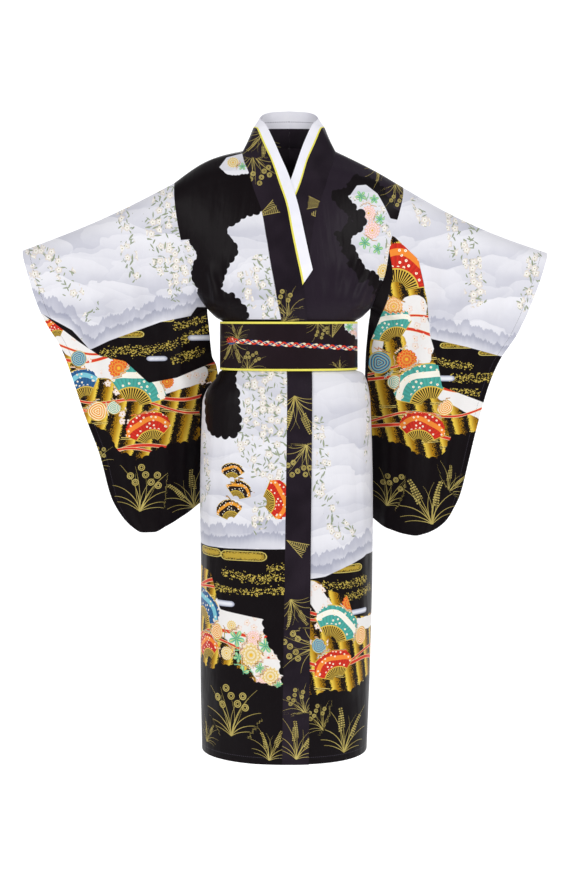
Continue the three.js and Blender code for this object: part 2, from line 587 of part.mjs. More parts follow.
function sleeve(side) {
  const surface = sleeveSurface(side);
  const lower = steps(SLEEVE_LOWER_ROWS).slice(1).map((part) => mix(ARMHOLE_DROP, SLEEVE_DROP, part ** 0.9));
  const frontDrops = [...FRONT_SHOULDER_ROWS.map((row) => row.drop), ...lower];
  const backDrops = [...BACK_SHOULDER_ROWS.slice(1).map((row) => row.drop), ...lower];
  const rows = [...frontDrops.reverse(), ...backDrops.map((drop) => -drop)];
  const sign = side === 'right' ? -1 : 1;
  const grid = gridOf(rows, steps(SLEEVE_COLUMNS), (drop, across) => {
    const [x, y, z] = surface(drop, across);
    return [sign * x, y, z];
  });
  return clothWall(grid, () => 0, CLOTH, -sign);
}

// --- belt -------------------------------------------------------------------------------------------

const BELT_SIDES = 64;
const BELT_SEAM = 0.15;         // half the gap at the belt's seam at the centre back, in degrees

function beltRing(heights, clear, thickness) {
  const angles = steps(BELT_SIDES).map((part) => mix(90 + BELT_SEAM, 450 - BELT_SEAM, part) * Math.PI / 180);
  const oval = (value) => Math.sign(value) * Math.abs(value) ** (2 / SIDE_ROUNDNESS);
  const grid = gridOf(angles, heights, (angle, z) => {
    const c = oval(Math.cos(angle));
    const s = oval(Math.sin(angle));
    const halfWidth = width[c < 0 ? 'right' : 'left'](BELT_MIDDLE_Z);
    const depth = (s < 0 ? frontDepth : backDepth)(BELT_MIDDLE_Z);
    return [c * halfWidth, s * depth, z];
  });
  return clothWall(grid, () => clear + thickness, thickness, -1);
}

// --- assembly ---------------------------------------------------------------------------------------

const material = (color, roughness) => new THREE.MeshStandardMaterial({ color, roughness, metalness: 0 });
const blackSatin = material(0x1d1519, 0.4);
const whiteSatin = material(0xefeef5, 0.5);
const yellowEdge = material(0xf1ea63, 0.5);

const yukata = new THREE.Group();
function add(name, geometry, finish) {
  const mesh = new THREE.Mesh(geometry, finish);
  mesh.name = name;
  yukata.add(mesh);
}

for (const side of ['right', 'left']) {
  const bandGap = SEAM_GAP / 2 / BAND_WIDTH;
  const stripGap = SEAM_GAP / STRIP_WIDTH;
  const pipingEnd = 1 + PIPING / STRIP_WIDTH;
  add(`body_${side}`, bodyPanel(side), blackSatin);
  add(`sleeve_${side}`, sleeve(side), blackSatin);
  add(`collar_${side}`, collarPiece(side, bandGap, 1, BAND_ROWS, 3), blackSatin);
  add(`collar_piping_${side}`, collarPiece(side, 1 + stripGap, pipingEnd, STRIP_ROWS, 1), yellowEdge);
  add(`under_collar_${side}`, collarPiece(side, pipingEnd + stripGap, 2, STRIP_ROWS, 2), whiteSatin);
}
const BELT_CLEAR = OVERLAP + 0.8;   // air under the belt, with room for the over front
const beltEdge = PIPING + SEAM_GAP;
const ring = (...heights) => beltRing(heights, BELT_CLEAR, BELT_CLOTH);
add('obi', ring(BELT_TOP_Z - beltEdge, BELT_BOTTOM_Z + beltEdge), blackSatin);
add('obi_piping_top', ring(BELT_TOP_Z, BELT_TOP_Z - PIPING), yellowEdge);
add('obi_piping_bottom', ring(BELT_BOTTOM_Z + PIPING, BELT_BOTTOM_Z), yellowEdge);

export default yukata;
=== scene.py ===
import math

import bpy
import numpy as np
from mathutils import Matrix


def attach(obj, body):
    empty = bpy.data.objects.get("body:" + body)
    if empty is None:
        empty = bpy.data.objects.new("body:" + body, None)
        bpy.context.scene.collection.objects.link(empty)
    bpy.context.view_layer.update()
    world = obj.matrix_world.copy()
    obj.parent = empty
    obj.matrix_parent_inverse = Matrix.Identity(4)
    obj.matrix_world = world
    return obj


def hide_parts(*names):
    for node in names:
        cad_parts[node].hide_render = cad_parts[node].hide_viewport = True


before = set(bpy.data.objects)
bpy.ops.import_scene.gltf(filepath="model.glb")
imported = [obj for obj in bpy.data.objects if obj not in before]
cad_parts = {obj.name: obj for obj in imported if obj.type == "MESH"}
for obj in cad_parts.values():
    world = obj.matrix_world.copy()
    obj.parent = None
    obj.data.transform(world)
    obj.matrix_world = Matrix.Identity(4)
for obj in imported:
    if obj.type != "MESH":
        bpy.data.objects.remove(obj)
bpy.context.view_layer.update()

# A satin yukata, hollow, as it is worn, with its flat belt. Shapes are worked out in millimetres,
# +Z up, front at -Y, with the origin at the base of the neck, and become metres in the mesh.
MM = 0.001
CLOTH = 1.6              # thickness of the robe's walls
BELT_CLOTH = 2.6
SEAM_GAP = 0.012         # between pieces that are sewn together
OVERLAP = 2.4            # how far the over front lies out from the under one
PITCH = 4.2              # spacing of the cloth's mesh

# heights
HEM = -1263
ARMPIT = -329
BELT_TOP = -357
BELT_BOTTOM = -459
BELT_MIDDLE = (BELT_TOP + BELT_BOTTOM) / 2
SKIRT_TOP = -530

# collar
CENTRE_BACK = 130        # length of the seam from the shoulder line to the centre back
BACK_NECK = 21           # its height there
STRIP = 28.5             # width of the white strip, with its piping
STRIP_FOOT = (289, 264)  # where the strip ends, at the band's edge and at its free edge
PIPING = 4.3
DRAWN_BACK = {"right": 2.3, "left": 8.5}    # the free edge, away from the middle where the fronts cross
DRAWN_AT = 84
DRAWN_BREADTH = 45

# armhole and sleeve
ARMHOLE = 269            # drop from the armhole's tip to the armpit
ARMHOLE_TOP = 60         # its round top ends here
ARMHOLE_FOOT = 190       # and its round foot begins here
ARMHOLE_FRONT = 47       # depth of the edge in front of the side line, and behind it
ARMHOLE_BACK = 55
HIGHEST_TIP = ARMPIT + ARMHOLE
SLEEVE = 670             # length of the sleeve, from its top fold to its foot
CUFF = 230               # how far down the cuff is open
BODY_BREADTH = 250       # lengths across a panel and a sleeve that set their numbers of columns
SLEEVE_BREADTH = 390

# the body's section: powers of its oval and of the flatter shoulder, and per side the rise of the
# shoulder's middle and how much lower its tip is
ROUND = 2.3
FLAT_SHOULDER = 2.2
CROWN = {"right": 15, "left": 4}
DIP = {"right": 0, "left": 10}
OUTWARD = {"right": -1, "left": 1}

# ranges over which one form passes into another
SIDE_OPENS = (ARMPIT + 4, ARMPIT + 70)  # height: the closed side seam opens into the sleeve
TIP_LOWERS = (0, 160)  # down the armhole: the lowered tip evens out
CROWN_FADES = (0, 60)  # down the armhole: the shoulder's rise ends
COLLAR_LIES = (30, 84)  # along the collar: it comes to lie on the chest
OVER_RISES = (-150, -62)  # x: the over front rises off the body
OVER_STARTS = (0, 70)  # along the collar: the same
NECK_FLATTENS = (0, 60)  # down from the neck: the back takes its full depth
FOOT_SLANTS = (0.7, 0.95)  # share of the strip: its rows turn to the mitre
SLEEVE_LETS_GO = (ARMHOLE, ARMHOLE + 45)  # down the sleeve: its inner edge leaves the seam
SLEEVE_FREE = (0, 0.06)  # share of the rest: that edge reaches its own line
HOLLOW_CLOSES = (70, 250)  # down the sleeve: the layers come together
FOLDS_START = (0.05, 0.3)  # share of the length: the sleeve's folds begin
FOLDS_SEAM = (0, 0.12)  # share of the breadth: the same
SEAM_HOLDS = (0, 0.3)  # share of the breadth: how far the seam shapes it

# the sleeve's depth between its layers
FOLD_BEND = (60, 34)  # how far the bend at the top fold reaches, at the seam and at the cuff
CUFF_DEPTH = 70  # at the cuff's top
HUNG_DEPTH = 20  # lower down, at most
CUFF_SHIFT = -12  # of the middle between the layers, at the cuff

# half widths at the sides and depths at the centre of the worn body, by height
SECTIONS = np.array([
    (60, 246, 246, 20, 45), (0, 246, 246, 45, 64), (-40, 245, 245, 58, 74), (-84, 243, 242, 76, 82),
    (-129, 238, 232, 91, 90), (-185, 228, 215, 104, 96), (-259, 209, 202, 112, 98),
    (-296, 195, 186, 111, 98), (-329, 175, 174, 107, 97), (-341, 164, 163, 103, 96),
    (-349, 155, 154, 99, 95), (-353, 148, 147, 96, 94), (-356, 142, 141, 94, 92),
    (-460, 142, 141, 94, 92), (-463, 148, 151, 96, 94), (-467, 150, 158, 98, 97),
    (-478, 156, 164, 103, 102), (-490, 167, 168, 107, 108), (-505, 177, 171, 111, 113),
    (-530, 185, 174, 115, 119), (-740, 190, 179, 127, 132), (-880, 188, 178, 131, 136),
    (-1080, 189, 173, 133, 137), (-1263, 186, 166, 132, 133),
])[::-1]

# rows across the collar: distance along, then seam, band edge and strip edge, each x, y, z
COLLAR = np.array([
    (-130, 0, 60, 21, 0, 57, 63, 0, 54, 101), (-85, -45, 54, 20, -41, 51, 62, -36, 47, 98),
    (-50, -78, 36, 16, -68, 34, 60, -57, 31, 90), (-25, -95, 14, 11, -77, 13, 59, -63, 10, 79),
    (0, -100, -8, 4, -70, -12, 56, -50, -13, 64), (18, -95, -32, -18, -53, -37, 17, -35, -33, 33),
    (40, -86, -53, -40, -37, -54, -18, -19, -51, -4), (84, -72, -70, -84, -21, -70, -64, 3, -68, -54),
    (129, -56, 0, -129, -5, 0, -115, 18, 0, -108), (180, -47, 0, -180, 4.5, 0, -168, 29.5, 0, -163),
    (229, -39, 0, -229, 14.6, 0, -218, 40, 0, -213), (289, -28, 0, -289, 27.4, 0, -281, 54, 0, -277),
    (330, -20.5, 0, -330, 33.5, 0, -328, 60, 0, -327), (349, -16.6, 0, -349, 37, 0, -349, 63, 0, -349),
    (400, -11, 0, -400, 42.5, 0, -400, 68, 0, -400), (477, -4, 0, -477, 47.5, 0, -477, 74, 0, -477),
    (800, -8, 0, -800, 44.5, 0, -800, 71, 0, -800), (1263, -14, 0, -1263, 40, 0, -1263, 66, 0, -1263),
])

# rows of a panel: where each starts on the collar seam or centre back, where it ends on the armhole
FRONT_ROWS = np.array([
    (0, 0), (10, 3), (24, 10), (42, 21), (64, 36), (90, 55), (118, 75), (146, 95), (175, 117),
    (202, 142), (229, 169), (260, 200), (283, 223), (302, 242), (316, 256), (325, 265), (329, 269),
])
BACK_ROWS = np.array([
    (0, 0), (14, 3), (30, 10), (50, 21), (75, 37), (102, 58), (130, 82), (165, 107), (200, 131),
    (250, 162), (300, 192), (350, 215), (395, 235), (432, 250), (460, 261), (474, 267), (480, 269),
])

# a sleeve's edges as seen from the front. inner: below the armhole, how far out and how deep by length;
# outer and foot: how far out and how high by share of the edge. sag: how far the top fold hangs
SLEEVES = {
    "right": {
        "inner": [(269, 175, 0), (310, 173, 16), (370, 169, 52), (392, 160, 66), (420, 157, 82),
                  (460, 160, 94), (540, 166, 100), (670, 172, 96)],
        "outer": [(0, 566, -205), (0.21, 525, -338), (0.37, 481, -424), (0.58, 436, -554),
                  (0.73, 403, -642), (0.88, 379, -730), (0.945, 365, -758), (1, 351, -778)],
        "foot": [(0, 172, -736), (0.1, 190, -750), (0.3, 227, -776), (0.5, 263, -796), (0.65, 289, -807),
                 (0.8, 315, -806), (0.92, 336, -793), (1, 351, -778)],
        "sag": 8,
    },
    "left": {
        "inner": [(269, 174, 0), (310, 171, 18), (370, 168, 54), (420, 168, 80), (460, 163, 92),
                  (540, 160, 100), (670, 160, 98)],
        "outer": [(0, 548, -210), (0.2, 519, -302), (0.35, 490, -377), (0.5, 448, -441),
                  (0.62, 426, -492), (0.78, 397, -595), (0.87, 382, -657), (0.95, 364, -727),
                  (1, 344, -768)],
        "foot": [(0, 160, -762), (0.13, 184, -787), (0.33, 217, -806), (0.58, 267, -815),
                 (0.8, 309, -801), (0.92, 331, -785), (1, 344, -768)],
        "sag": 12,
    },
}

# straight soft folds: side, face (-1 front, 1 back), from x, z, to x, z, width, height
FOLDS = [
    ("left", -1, 150, -190, 108, -346, 11, 6), ("left", -1, 176, -235, 128, -347, 9, 6),
    ("left", -1, 104, -215, 88, -346, 11, 4), ("right", -1, 168, -225, 141, -347, 10, 7),
    ("right", -1, 128, -200, 118, -346, 11, 4), ("right", -1, 128, -500, 136, -1180, 26, 5),
    ("left", -1, 118, -520, 124, -1150, 24, 5), ("right", 1, 150, -215, 112, -346, 12, 6),
    ("left", 1, 150, -215, 112, -346, 12, 6), ("right", 1, 90, -500, 105, -1200, 28, 6),
    ("left", 1, 96, -500, 90, -1200, 28, 6),
    # small ones that only the cloth shows
    ("right", -1, 60, -270, 74, -348, 6, 2.2), ("right", -1, 92, -255, 96, -349, 6, 2.4),
    ("left", -1, 70, -262, 66, -349, 6, 2.2), ("left", -1, 120, -250, 100, -349, 5, 2.4),
    ("left", -1, 158, -262, 118, -349, 5, 2.6), ("right", -1, 152, -262, 130, -349, 5, 2.4),
    ("right", -1, 60, -470, 74, -760, 14, 2.0), ("right", -1, 30, -468, 34, -980, 12, 1.4),
    ("left", -1, 84, -470, 92, -820, 12, 2.0), ("left", -1, 150, -480, 152, -1000, 10, 2.4),
    ("right", -1, 160, -480, 166, -1050, 10, 2.4), ("right", 1, 40, -470, 52, -900, 14, 2.4),
    ("left", 1, 44, -470, 40, -900, 14, 2.4),
]
# at what share of the breadth, how much further out at the foot, width, height
SLEEVE_FOLDS = [(0.16, 0.12, 0.055, 7), (0.38, 0.06, 0.07, 5), (0.62, -0.02, 0.08, 6), (0.84, -0.08, 0.06, 5)]


# --- curves ------------------------------------------------------------------------------------------

def mix(a, b, part):
    """a, moved towards b by part of the way."""
    return a + (b - a) * part


def smooth(start, end, value):
    """0 before start, 1 after end, with an even ease between them."""
    t = np.clip((value - start) / (end - start), 0, 1)
    return t * t * (3 - 2 * t)


def curve(at, values):
    """Cubic pieces through the points; a slope is the harmonic mean of its neighbours', or zero at a turn."""
    at, values = np.asarray(at, float), np.asarray(values, float)
    rise = np.diff(values) / np.diff(at)
    before, after = rise[:-1], rise[1:]
    turns = before * after <= 0
    middle = np.where(turns, 0, 2 * before * after / np.where(turns, 1, before + after))
    slopes = np.concatenate([rise[:1], middle, rise[-1:]])

    def value(where):
        """The curve's height at each place, held at its ends beyond them."""
        where = np.asarray(where, float)
        i = np.clip(np.searchsorted(at, where, side="right") - 1, 0, len(at) - 2)
        span = at[i + 1] - at[i]
        t = np.clip((where - at[i]) / span, 0, 1)
        step = values[i + 1] - values[i]
        a, b = slopes[i] * span, slopes[i + 1] * span
        return values[i] + t * (a + t * (3 * step - 2 * a - b + t * (a + b - 2 * step)))

    return value


# half widths and depths of the body by height, and the collar's three lines, x, y and z by distance along
WIDTH = {side: curve(SECTIONS[:, 0], SECTIONS[:, column]) for side, column in (("right", 1), ("left", 2))}
FRONT = curve(SECTIONS[:, 0], SECTIONS[:, 3])
BACK = curve(SECTIONS[:, 0], SECTIONS[:, 4])
COLLAR_CURVES = [
    [curve(COLLAR[:, 0], COLLAR[:, 1 + 3 * line + axis]) for axis in range(3)] for line in range(3)
]


# --- the body's surface ------------------------------------------------------------------------------

def armhole_depth(drop, most):
    """Depth of the armhole's edge from the side line: a round top, a straight middle and a round foot."""
    top = np.clip(drop / ARMHOLE_TOP, 0, 1)
    foot = np.clip((drop - ARMHOLE_FOOT) / (ARMHOLE - ARMHOLE_FOOT), 0, 1)
    return most * np.sqrt(1 - (1 - top) ** 2) * np.sqrt(1 - foot ** 2)


def into_sleeve(z):
    """1 where the front runs on into the sleeve, 0 where it rounds to the side seam."""
    return smooth(*SIDE_OPENS, z)


def cross_profile(across, z):
    """Depth across the width, from 1 at the centre to 0 at the edge: an oval, flatter at the shoulder."""
    u = np.clip(np.abs(across), 0, 1)
    return mix((1 - u ** ROUND) ** (1 / ROUND), 1 - u ** FLAT_SHOULDER, into_sleeve(z))


def chest_y(x, z):
    """Depth of the front's surface, between the armhole's edge and the centre."""
    edge = armhole_depth(HIGHEST_TIP - z, ARMHOLE_FRONT)
    half = np.where(x < 0, WIDTH["right"](z), WIDTH["left"](z))
    return -(edge + (FRONT(z) - edge) * cross_profile(x / half, z))


def collar_point(along, part, side="right"):
    """A collar, as it lies on the right: part 0 is its seam, 1 the band's edge and 2 the strip's free edge.

    Its rows run straight between three curves, less a bell along it that draws the free edge back."""
    along, part = np.broadcast_arrays(np.asarray(along, float), np.asarray(part, float))
    lines = [np.stack([c(along) for c in line], -1) for line in COLLAR_CURVES]
    share = part[..., None]
    point = np.where(share < 1, mix(lines[0], lines[1], share), mix(lines[1], lines[2], share - 1))
    point[..., 0] -= DRAWN_BACK[side] * part / 2 * np.exp(-(((along - DRAWN_AT) / DRAWN_BREADTH) ** 2))
    lies = smooth(*COLLAR_LIES, along)
    point[..., 1] = mix(point[..., 1], chest_y(point[..., 0], point[..., 2]), lies)
    return point


def lift_over(x, along):
    """How far the over front lies out from the under one."""
    return OVERLAP * smooth(*OVER_RISES, x) * smooth(*OVER_STARTS, along)


def unit(vectors):
    """The vectors, each divided by its length."""
    return vectors / np.maximum(np.linalg.norm(vectors, axis=-1, keepdims=True), 1e-9)


def normals_of(grid):
    """Normals of a grid of points: the step down the rows crossed with the step across the columns."""
    down, over = np.empty_like(grid), np.empty_like(grid)
    down[1:-1] = grid[2:] - grid[:-2]
    down[0], down[-1] = grid[1] - grid[0], grid[-1] - grid[-2]
    over[:, 1:-1] = grid[:, 2:] - grid[:, :-2]
    over[:, 0], over[:, -1] = grid[:, 1] - grid[:, 0], grid[:, -1] - grid[:, -2]
    return unit(np.cross(unit(down), unit(over)))


def fold_height(side, face, x, z):
    """The sum of the folds: each a bell across its line, easing in from its start and out at its end."""
    height = np.zeros_like(x)
    for own, front, x0, z0, x1, z1, width, most in FOLDS:
        if own == side:
            length = math.hypot(x1 - x0, z1 - z0)
            along = ((x - x0) * (x1 - x0) + (z - z0) * (z1 - z0)) / length
            off = ((x - x0) * (z1 - z0) - (z - z0) * (x1 - x0)) / length
            ends = smooth(0, 0.35 * length, along) * smooth(0, min(40, 0.3 * length), length - along)
            height += most * np.exp(-((off / width) ** 2)) * ends * (face == front)
    return height


def armhole_edge(side, face, drop):
    """The armhole's edge: outward distance, depth and height."""
    z = HIGHEST_TIP - drop - DIP[side] * (1 - smooth(*TIP_LOWERS, drop))
    most = np.where(face < 0, ARMHOLE_FRONT, ARMHOLE_BACK)
    return WIDTH[side](z), face * np.maximum(SEAM_GAP / 2, armhole_depth(drop, most)), z


def panel_rows():
    """Every row of a panel from the front hem over the shoulder to the back hem: face, along, drop, below."""
    def dense(table, pitch):
        """Both columns of a table of rows, read at even steps of the first."""
        at = np.arange(len(table))
        count = int(table[-1, 0] / pitch)
        where = np.interp(np.linspace(0, table[-1, 0], count), table[:, 0], at)
        return curve(at, table[:, 0])(where), curve(at, table[:, 1])(where)

    waist = np.concatenate([np.arange(ARMPIT - 3, SKIRT_TOP, -3.0), np.arange(SKIRT_TOP, HEM, -PITCH), [HEM]])
    front_along, front_drop = dense(FRONT_ROWS, PITCH * 0.9)
    back_along, back_drop = dense(BACK_ROWS, PITCH * 1.1)
    back_along[np.argmin(np.abs(back_along - CENTRE_BACK))] = CENTRE_BACK
    parts = [
        (-1, -waist[::-1], np.full(len(waist), ARMHOLE), True),
        (-1, front_along[::-1], front_drop[::-1], False),
        (1, back_along[1:], back_drop[1:], False),
        (1, BACK_NECK - waist + CENTRE_BACK, np.full(len(waist), ARMHOLE), True),
    ]
    return [np.concatenate([np.broadcast_to(part[k], part[1].shape) for part in parts]) for k in range(4)]


def body_panel(side):
    """A panel's outer grid: rows run from the collar or centre back outward to the armhole or side seam.

    A row's x is a share of its outer end's, its depth falls from the inner end's to the outer end's by the
    section's oval, and its height runs evenly between them. The folds then push it out along its normals."""
    face, along, drop, below = (row[:, None] for row in panel_rows())
    part = np.linspace(0, 1, int(BODY_BREADTH / PITCH))[None, :]
    seam = collar_point(np.where(face < 0, along, np.maximum(-CENTRE_BACK, -along)), 0.0)
    back_z = BACK_NECK - (along - CENTRE_BACK)
    low = (face > 0) & (along > CENTRE_BACK)
    neck_y = collar_point(-CENTRE_BACK, 0.0)[1]
    neck_x = np.where(face < 0, -seam[..., 0], np.maximum(SEAM_GAP / 2, -seam[..., 0]))
    inner_x = np.where(low, 0, neck_x)
    back_y = mix(neck_y, BACK(back_z), smooth(*NECK_FLATTENS, along - CENTRE_BACK))
    inner_y = np.where(low, back_y, seam[..., 1])
    inner_z = np.where(low, back_z, seam[..., 2])
    hole_x, hole_y, hole_z = armhole_edge(side, face, drop)
    outer_x = np.where(below, WIDTH[side](inner_z), hole_x)
    outer_y = np.where(below, face * SEAM_GAP / 2, hole_y)
    outer_z = np.where(below, inner_z, hole_z)
    start = np.clip(inner_x / outer_x, -1, 1)
    opened = into_sleeve(outer_z)
    angle = mix(np.arcsin(np.sign(start) * np.abs(start) ** (ROUND / 2)), math.pi / 2, part)
    across = mix(np.sign(angle) * np.abs(np.sin(angle)) ** (2 / ROUND), mix(start, 1, part), opened)
    reach = np.clip((across - start) / (1 - start), 0, 1)
    profile = cross_profile(across, outer_z) / cross_profile(start, outer_z)
    crown = CROWN[side] * np.sin(math.pi * reach) * np.where(below, 0, 1 - smooth(*CROWN_FADES, drop))
    gap = np.where((face < 0) | (along <= CENTRE_BACK), SEAM_GAP / 2, 0)
    x = across * outer_x + gap * (1 - part)
    y = outer_y + (inner_y - outer_y) * profile
    z = mix(inner_z, outer_z, reach) + crown
    grid = np.stack([OUTWARD[side] * x, y + 0 * x, z + 0 * x], -1)
    normals = clear_of_centre(normals_of(grid) * -OUTWARD[side], grid)
    lift = fold_height(side, face + 0 * x, np.abs(x), z)
    if side == "right":
        lift = lift + np.where(face < 0, lift_over(grid[..., 0], along), 0)
    return grid + normals * lift[..., None], normals, face + 0 * x


def clear_of_centre(normals, grid):
    """The normals, kept in the centre plane where the cloth starts on it."""
    flat = np.abs(grid[..., 0]) < 1
    normals[..., 0] = np.where(flat, 0, normals[..., 0])
    return unit(normals)


# --- collar, sleeve and belt surfaces ----------------------------------------------------------------

def collar_strip(side, start, end, rows, columns, foot=False):
    """Part of the collar's width along its length. With a foot, the last rows slant to the strip's mitre."""
    part = np.linspace(start, end, columns)[None, :]
    along = np.asarray(rows, float)[:, None] + 0 * part
    if foot:
        last = mix(STRIP_FOOT[0], STRIP_FOOT[1], part - 1)
        share = np.clip((along + CENTRE_BACK) / (along[-1:] + CENTRE_BACK), 0, 1)
        along = mix(along, -CENTRE_BACK + share * (last + CENTRE_BACK), smooth(*FOOT_SLANTS, share))
    grid = collar_point(along, part, side)
    grid[..., 0] = np.where(along < 0, np.minimum(grid[..., 0], -SEAM_GAP / 2), grid[..., 0])
    down = collar_point(along + 3, part, side) - collar_point(along - 3, part, side)
    over = collar_point(along, np.minimum(2, part + 0.12), side)
    over = over - collar_point(along, np.maximum(0, part - 0.12), side)
    normals = unit(np.cross(down, over))
    grid[..., 0] *= -OUTWARD[side]
    normals[..., 0] *= -OUTWARD[side]
    normals[0, :, 0] = 0
    normals = unit(normals)
    if side == "right":
        grid = grid + normals * lift_over(grid[..., 0], along)[..., None]
    return grid, normals, along


def sleeve_surface(side):
    """A sleeve's outer grid, from the foot of the front layer over the top fold to the foot of the back.

    Seen from the front it is a patch between four edges: the sum of the straight runs across and down, less
    the one between the corners. Its depth is half the hollow between the layers, bent round at the fold,
    about a middle line with folds in it, and held to the armhole's edge at the seam."""
    shape = SLEEVES[side]
    inner, outer, foot = (np.array(shape[key], float) for key in ("inner", "outer", "foot"))
    lower = ARMHOLE + (SLEEVE - ARMHOLE) * np.linspace(0, 1, int((SLEEVE - ARMHOLE) / PITCH)) ** 0.97
    upper = ARMHOLE * np.linspace(0, 1, int(ARMHOLE / PITCH * 1.15)) ** 1.25
    drops = np.concatenate([upper, lower[1:]])
    signed = np.concatenate([drops[::-1], -drops[1:]])[:, None]
    drop, face = np.abs(signed), np.where(signed >= 0, -1, 1)
    across = np.linspace(0, 1, int(SLEEVE_BREADTH / PITCH))[None, :]
    down = drop / SLEEVE
    hole_x, _, hole_z = armhole_edge(side, -1, np.minimum(drop, ARMHOLE))
    held_x = hole_x + SEAM_GAP * (1 + 2 * smooth(ARMHOLE_FOOT, ARMHOLE, drop))
    below = (drop - ARMHOLE) / (SLEEVE - ARMHOLE)
    seam_end = armhole_edge(side, -1, ARMHOLE)[0] + 3 * SEAM_GAP
    free_x = mix(seam_end, curve(inner[:, 0], inner[:, 1])(drop), smooth(*SLEEVE_FREE, below))
    inner_x = np.where(drop <= ARMHOLE, held_x, free_x)
    inner_z = np.where(drop <= ARMHOLE, hole_z, mix(ARMPIT, foot[0, 2], below))
    tip_x, _, tip_z = armhole_edge(side, -1, 0)
    tip = (tip_x + SEAM_GAP, tip_z)
    corner = (outer[0, 1], outer[0, 2])
    sag = shape["sag"] * np.sin(math.pi * across)
    place = []
    for axis, edge, drape in ((0, inner_x, 0), (1, inner_z, sag)):
        line, hem = curve(outer[:, 0], outer[:, 1 + axis]), curve(foot[:, 0], foot[:, 1 + axis])
        straight = mix(edge, line(down), across)
        bowed = mix(mix(tip[axis], corner[axis], across) - drape, hem(across), down)
        at_foot = mix(foot[0, 1 + axis], hem(1), across)
        place.append(straight + bowed - mix(mix(tip[axis], corner[axis], across), at_foot, down))
    x, z = place
    bend = np.sqrt(1 - (1 - np.clip(drop / mix(*FOLD_BEND, across), 0, 1)) ** 2)
    bag = HUNG_DEPTH * (0.6 + 0.4 * np.sin(math.pi * across))
    hollow = mix(ARMHOLE_FRONT + ARMHOLE_BACK, CUFF_DEPTH, across)
    hollow = mix(hollow, bag, smooth(*HOLLOW_CLOSES, drop)) * bend
    hollow = hollow * (1 - across ** 5 * smooth(CUFF - 40, CUFF, drop))
    hollow = hollow * np.sqrt(np.clip(1 - down ** 7, 0, 1))
    hollow = np.maximum(2 * CLOTH + SEAM_GAP, hollow)
    middle = mix((ARMHOLE_BACK - ARMHOLE_FRONT) / 2, CUFF_SHIFT, smooth(0, 1, across))
    middle = middle + np.where(drop > ARMHOLE, curve(inner[:, 0], inner[:, 2])(drop) * (1 - across) ** 2.4, 0)
    hang = smooth(*FOLDS_START, down) * smooth(*FOLDS_SEAM, across)
    for at, lean, width, most in SLEEVE_FOLDS:
        middle = middle - most * np.exp(-(((across - at - lean * down) / width) ** 2)) * hang
    hold = (1 - smooth(*SEAM_HOLDS, across)) * (1 - smooth(*SLEEVE_LETS_GO, drop))
    depth = np.where(drop == 0, 0, face * hollow / 2)
    most = np.where(face < 0, ARMHOLE_FRONT, ARMHOLE_BACK)
    sewn = np.maximum(CLOTH + SEAM_GAP / 2, armhole_depth(np.minimum(drop, ARMHOLE), most))
    sewn = np.where(drop == 0, 0, face * sewn)
    grid = np.stack([OUTWARD[side] * x, mix(middle + depth, sewn, hold), z + 0 * x], -1)
    return grid, normals_of(grid) * -OUTWARD[side]


BELT_OPENING = 0.15      # degrees from the centre back to each end
BELT_ROWS = 260


def belt_ring(heights, clear, thickness):
    """A band round the waist: an oval that opens at the centre back, the same at every height."""
    angle = np.radians(np.linspace(90 + BELT_OPENING, 450 - BELT_OPENING, BELT_ROWS))[:, None]
    c, s = (np.sign(value) * np.abs(value) ** (2 / ROUND) for value in (np.cos(angle), np.sin(angle)))
    half = np.where(c < 0, WIDTH["right"](BELT_MIDDLE), WIDTH["left"](BELT_MIDDLE))
    depth = np.where(s < 0, FRONT(BELT_MIDDLE), BACK(BELT_MIDDLE))
    z = np.asarray(heights, float)[None, :]
    grid = np.stack([c * half + 0 * z, s * depth + 0 * z, z + 0 * c], -1)
    normals = clear_of_centre(-normals_of(grid), grid)
    return grid + normals * (clear + thickness), normals


# --- meshes ------------------------------------------------------------------------------------------

def cloth_mesh(name, grid, normals, thickness, facing, fields, materials):
    """A closed wall: the outer grid, the same grid a thickness in along the normals, and a rim between.

    Each field gives a value at every point of the grid, the same inside and outside."""
    rows, columns = grid.shape[:2]
    count = rows * columns
    points = np.concatenate([grid.reshape(-1, 3), (grid - normals * thickness).reshape(-1, 3)]) * MM
    at = np.arange(count).reshape(rows, columns)
    a, b, c, d = at[:-1, :-1], at[1:, :-1], at[1:, 1:], at[:-1, 1:]
    outer = np.stack([a, b, c, d], -1).reshape(-1, 4)
    ring = np.concatenate([at[:-1, 0], at[-1, :-1], at[:0:-1, -1], at[0, :0:-1]])
    after = np.roll(ring, -1)
    rim = np.stack([after, ring, ring + count, after + count], -1)
    faces = np.concatenate([outer, outer[:, ::-1] + count, rim])
    if facing < 0:
        faces = faces[:, ::-1]
    mesh = bpy.data.meshes.new(name)
    mesh.vertices.add(len(points))
    mesh.vertices.foreach_set("co", points.ravel())
    mesh.loops.add(faces.size)
    mesh.loops.foreach_set("vertex_index", faces.ravel().astype(np.int32))
    mesh.polygons.add(len(faces))
    mesh.polygons.foreach_set("loop_start", np.arange(0, faces.size, 4, dtype=np.int32))
    slots = np.zeros(len(faces), np.int32)
    slots[len(outer):2 * len(outer)] = len(materials) - 1
    mesh.polygons.foreach_set("material_index", slots)
    mesh.polygons.foreach_set("use_smooth", np.ones(len(faces), bool))
    for key, values in fields.items():
        values = np.asarray(values, float)
        kind, word = ("FLOAT_VECTOR", "vector") if values.ndim == 3 else ("FLOAT", "value")
        data = np.concatenate([values.reshape(count, -1)] * 2).astype(np.float32)
        mesh.attributes.new(key, kind, "POINT").data.foreach_set(word, data.ravel())
    mesh.update(calc_edges=True)
    mesh.validate()
    mesh.set_sharp_from_angle(angle=math.radians(60))
    for material in materials:
        mesh.materials.append(material)
    piece = bpy.data.objects.new(name, mesh)
    bpy.context.scene.collection.objects.link(piece)
    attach(piece, "root")
    return piece


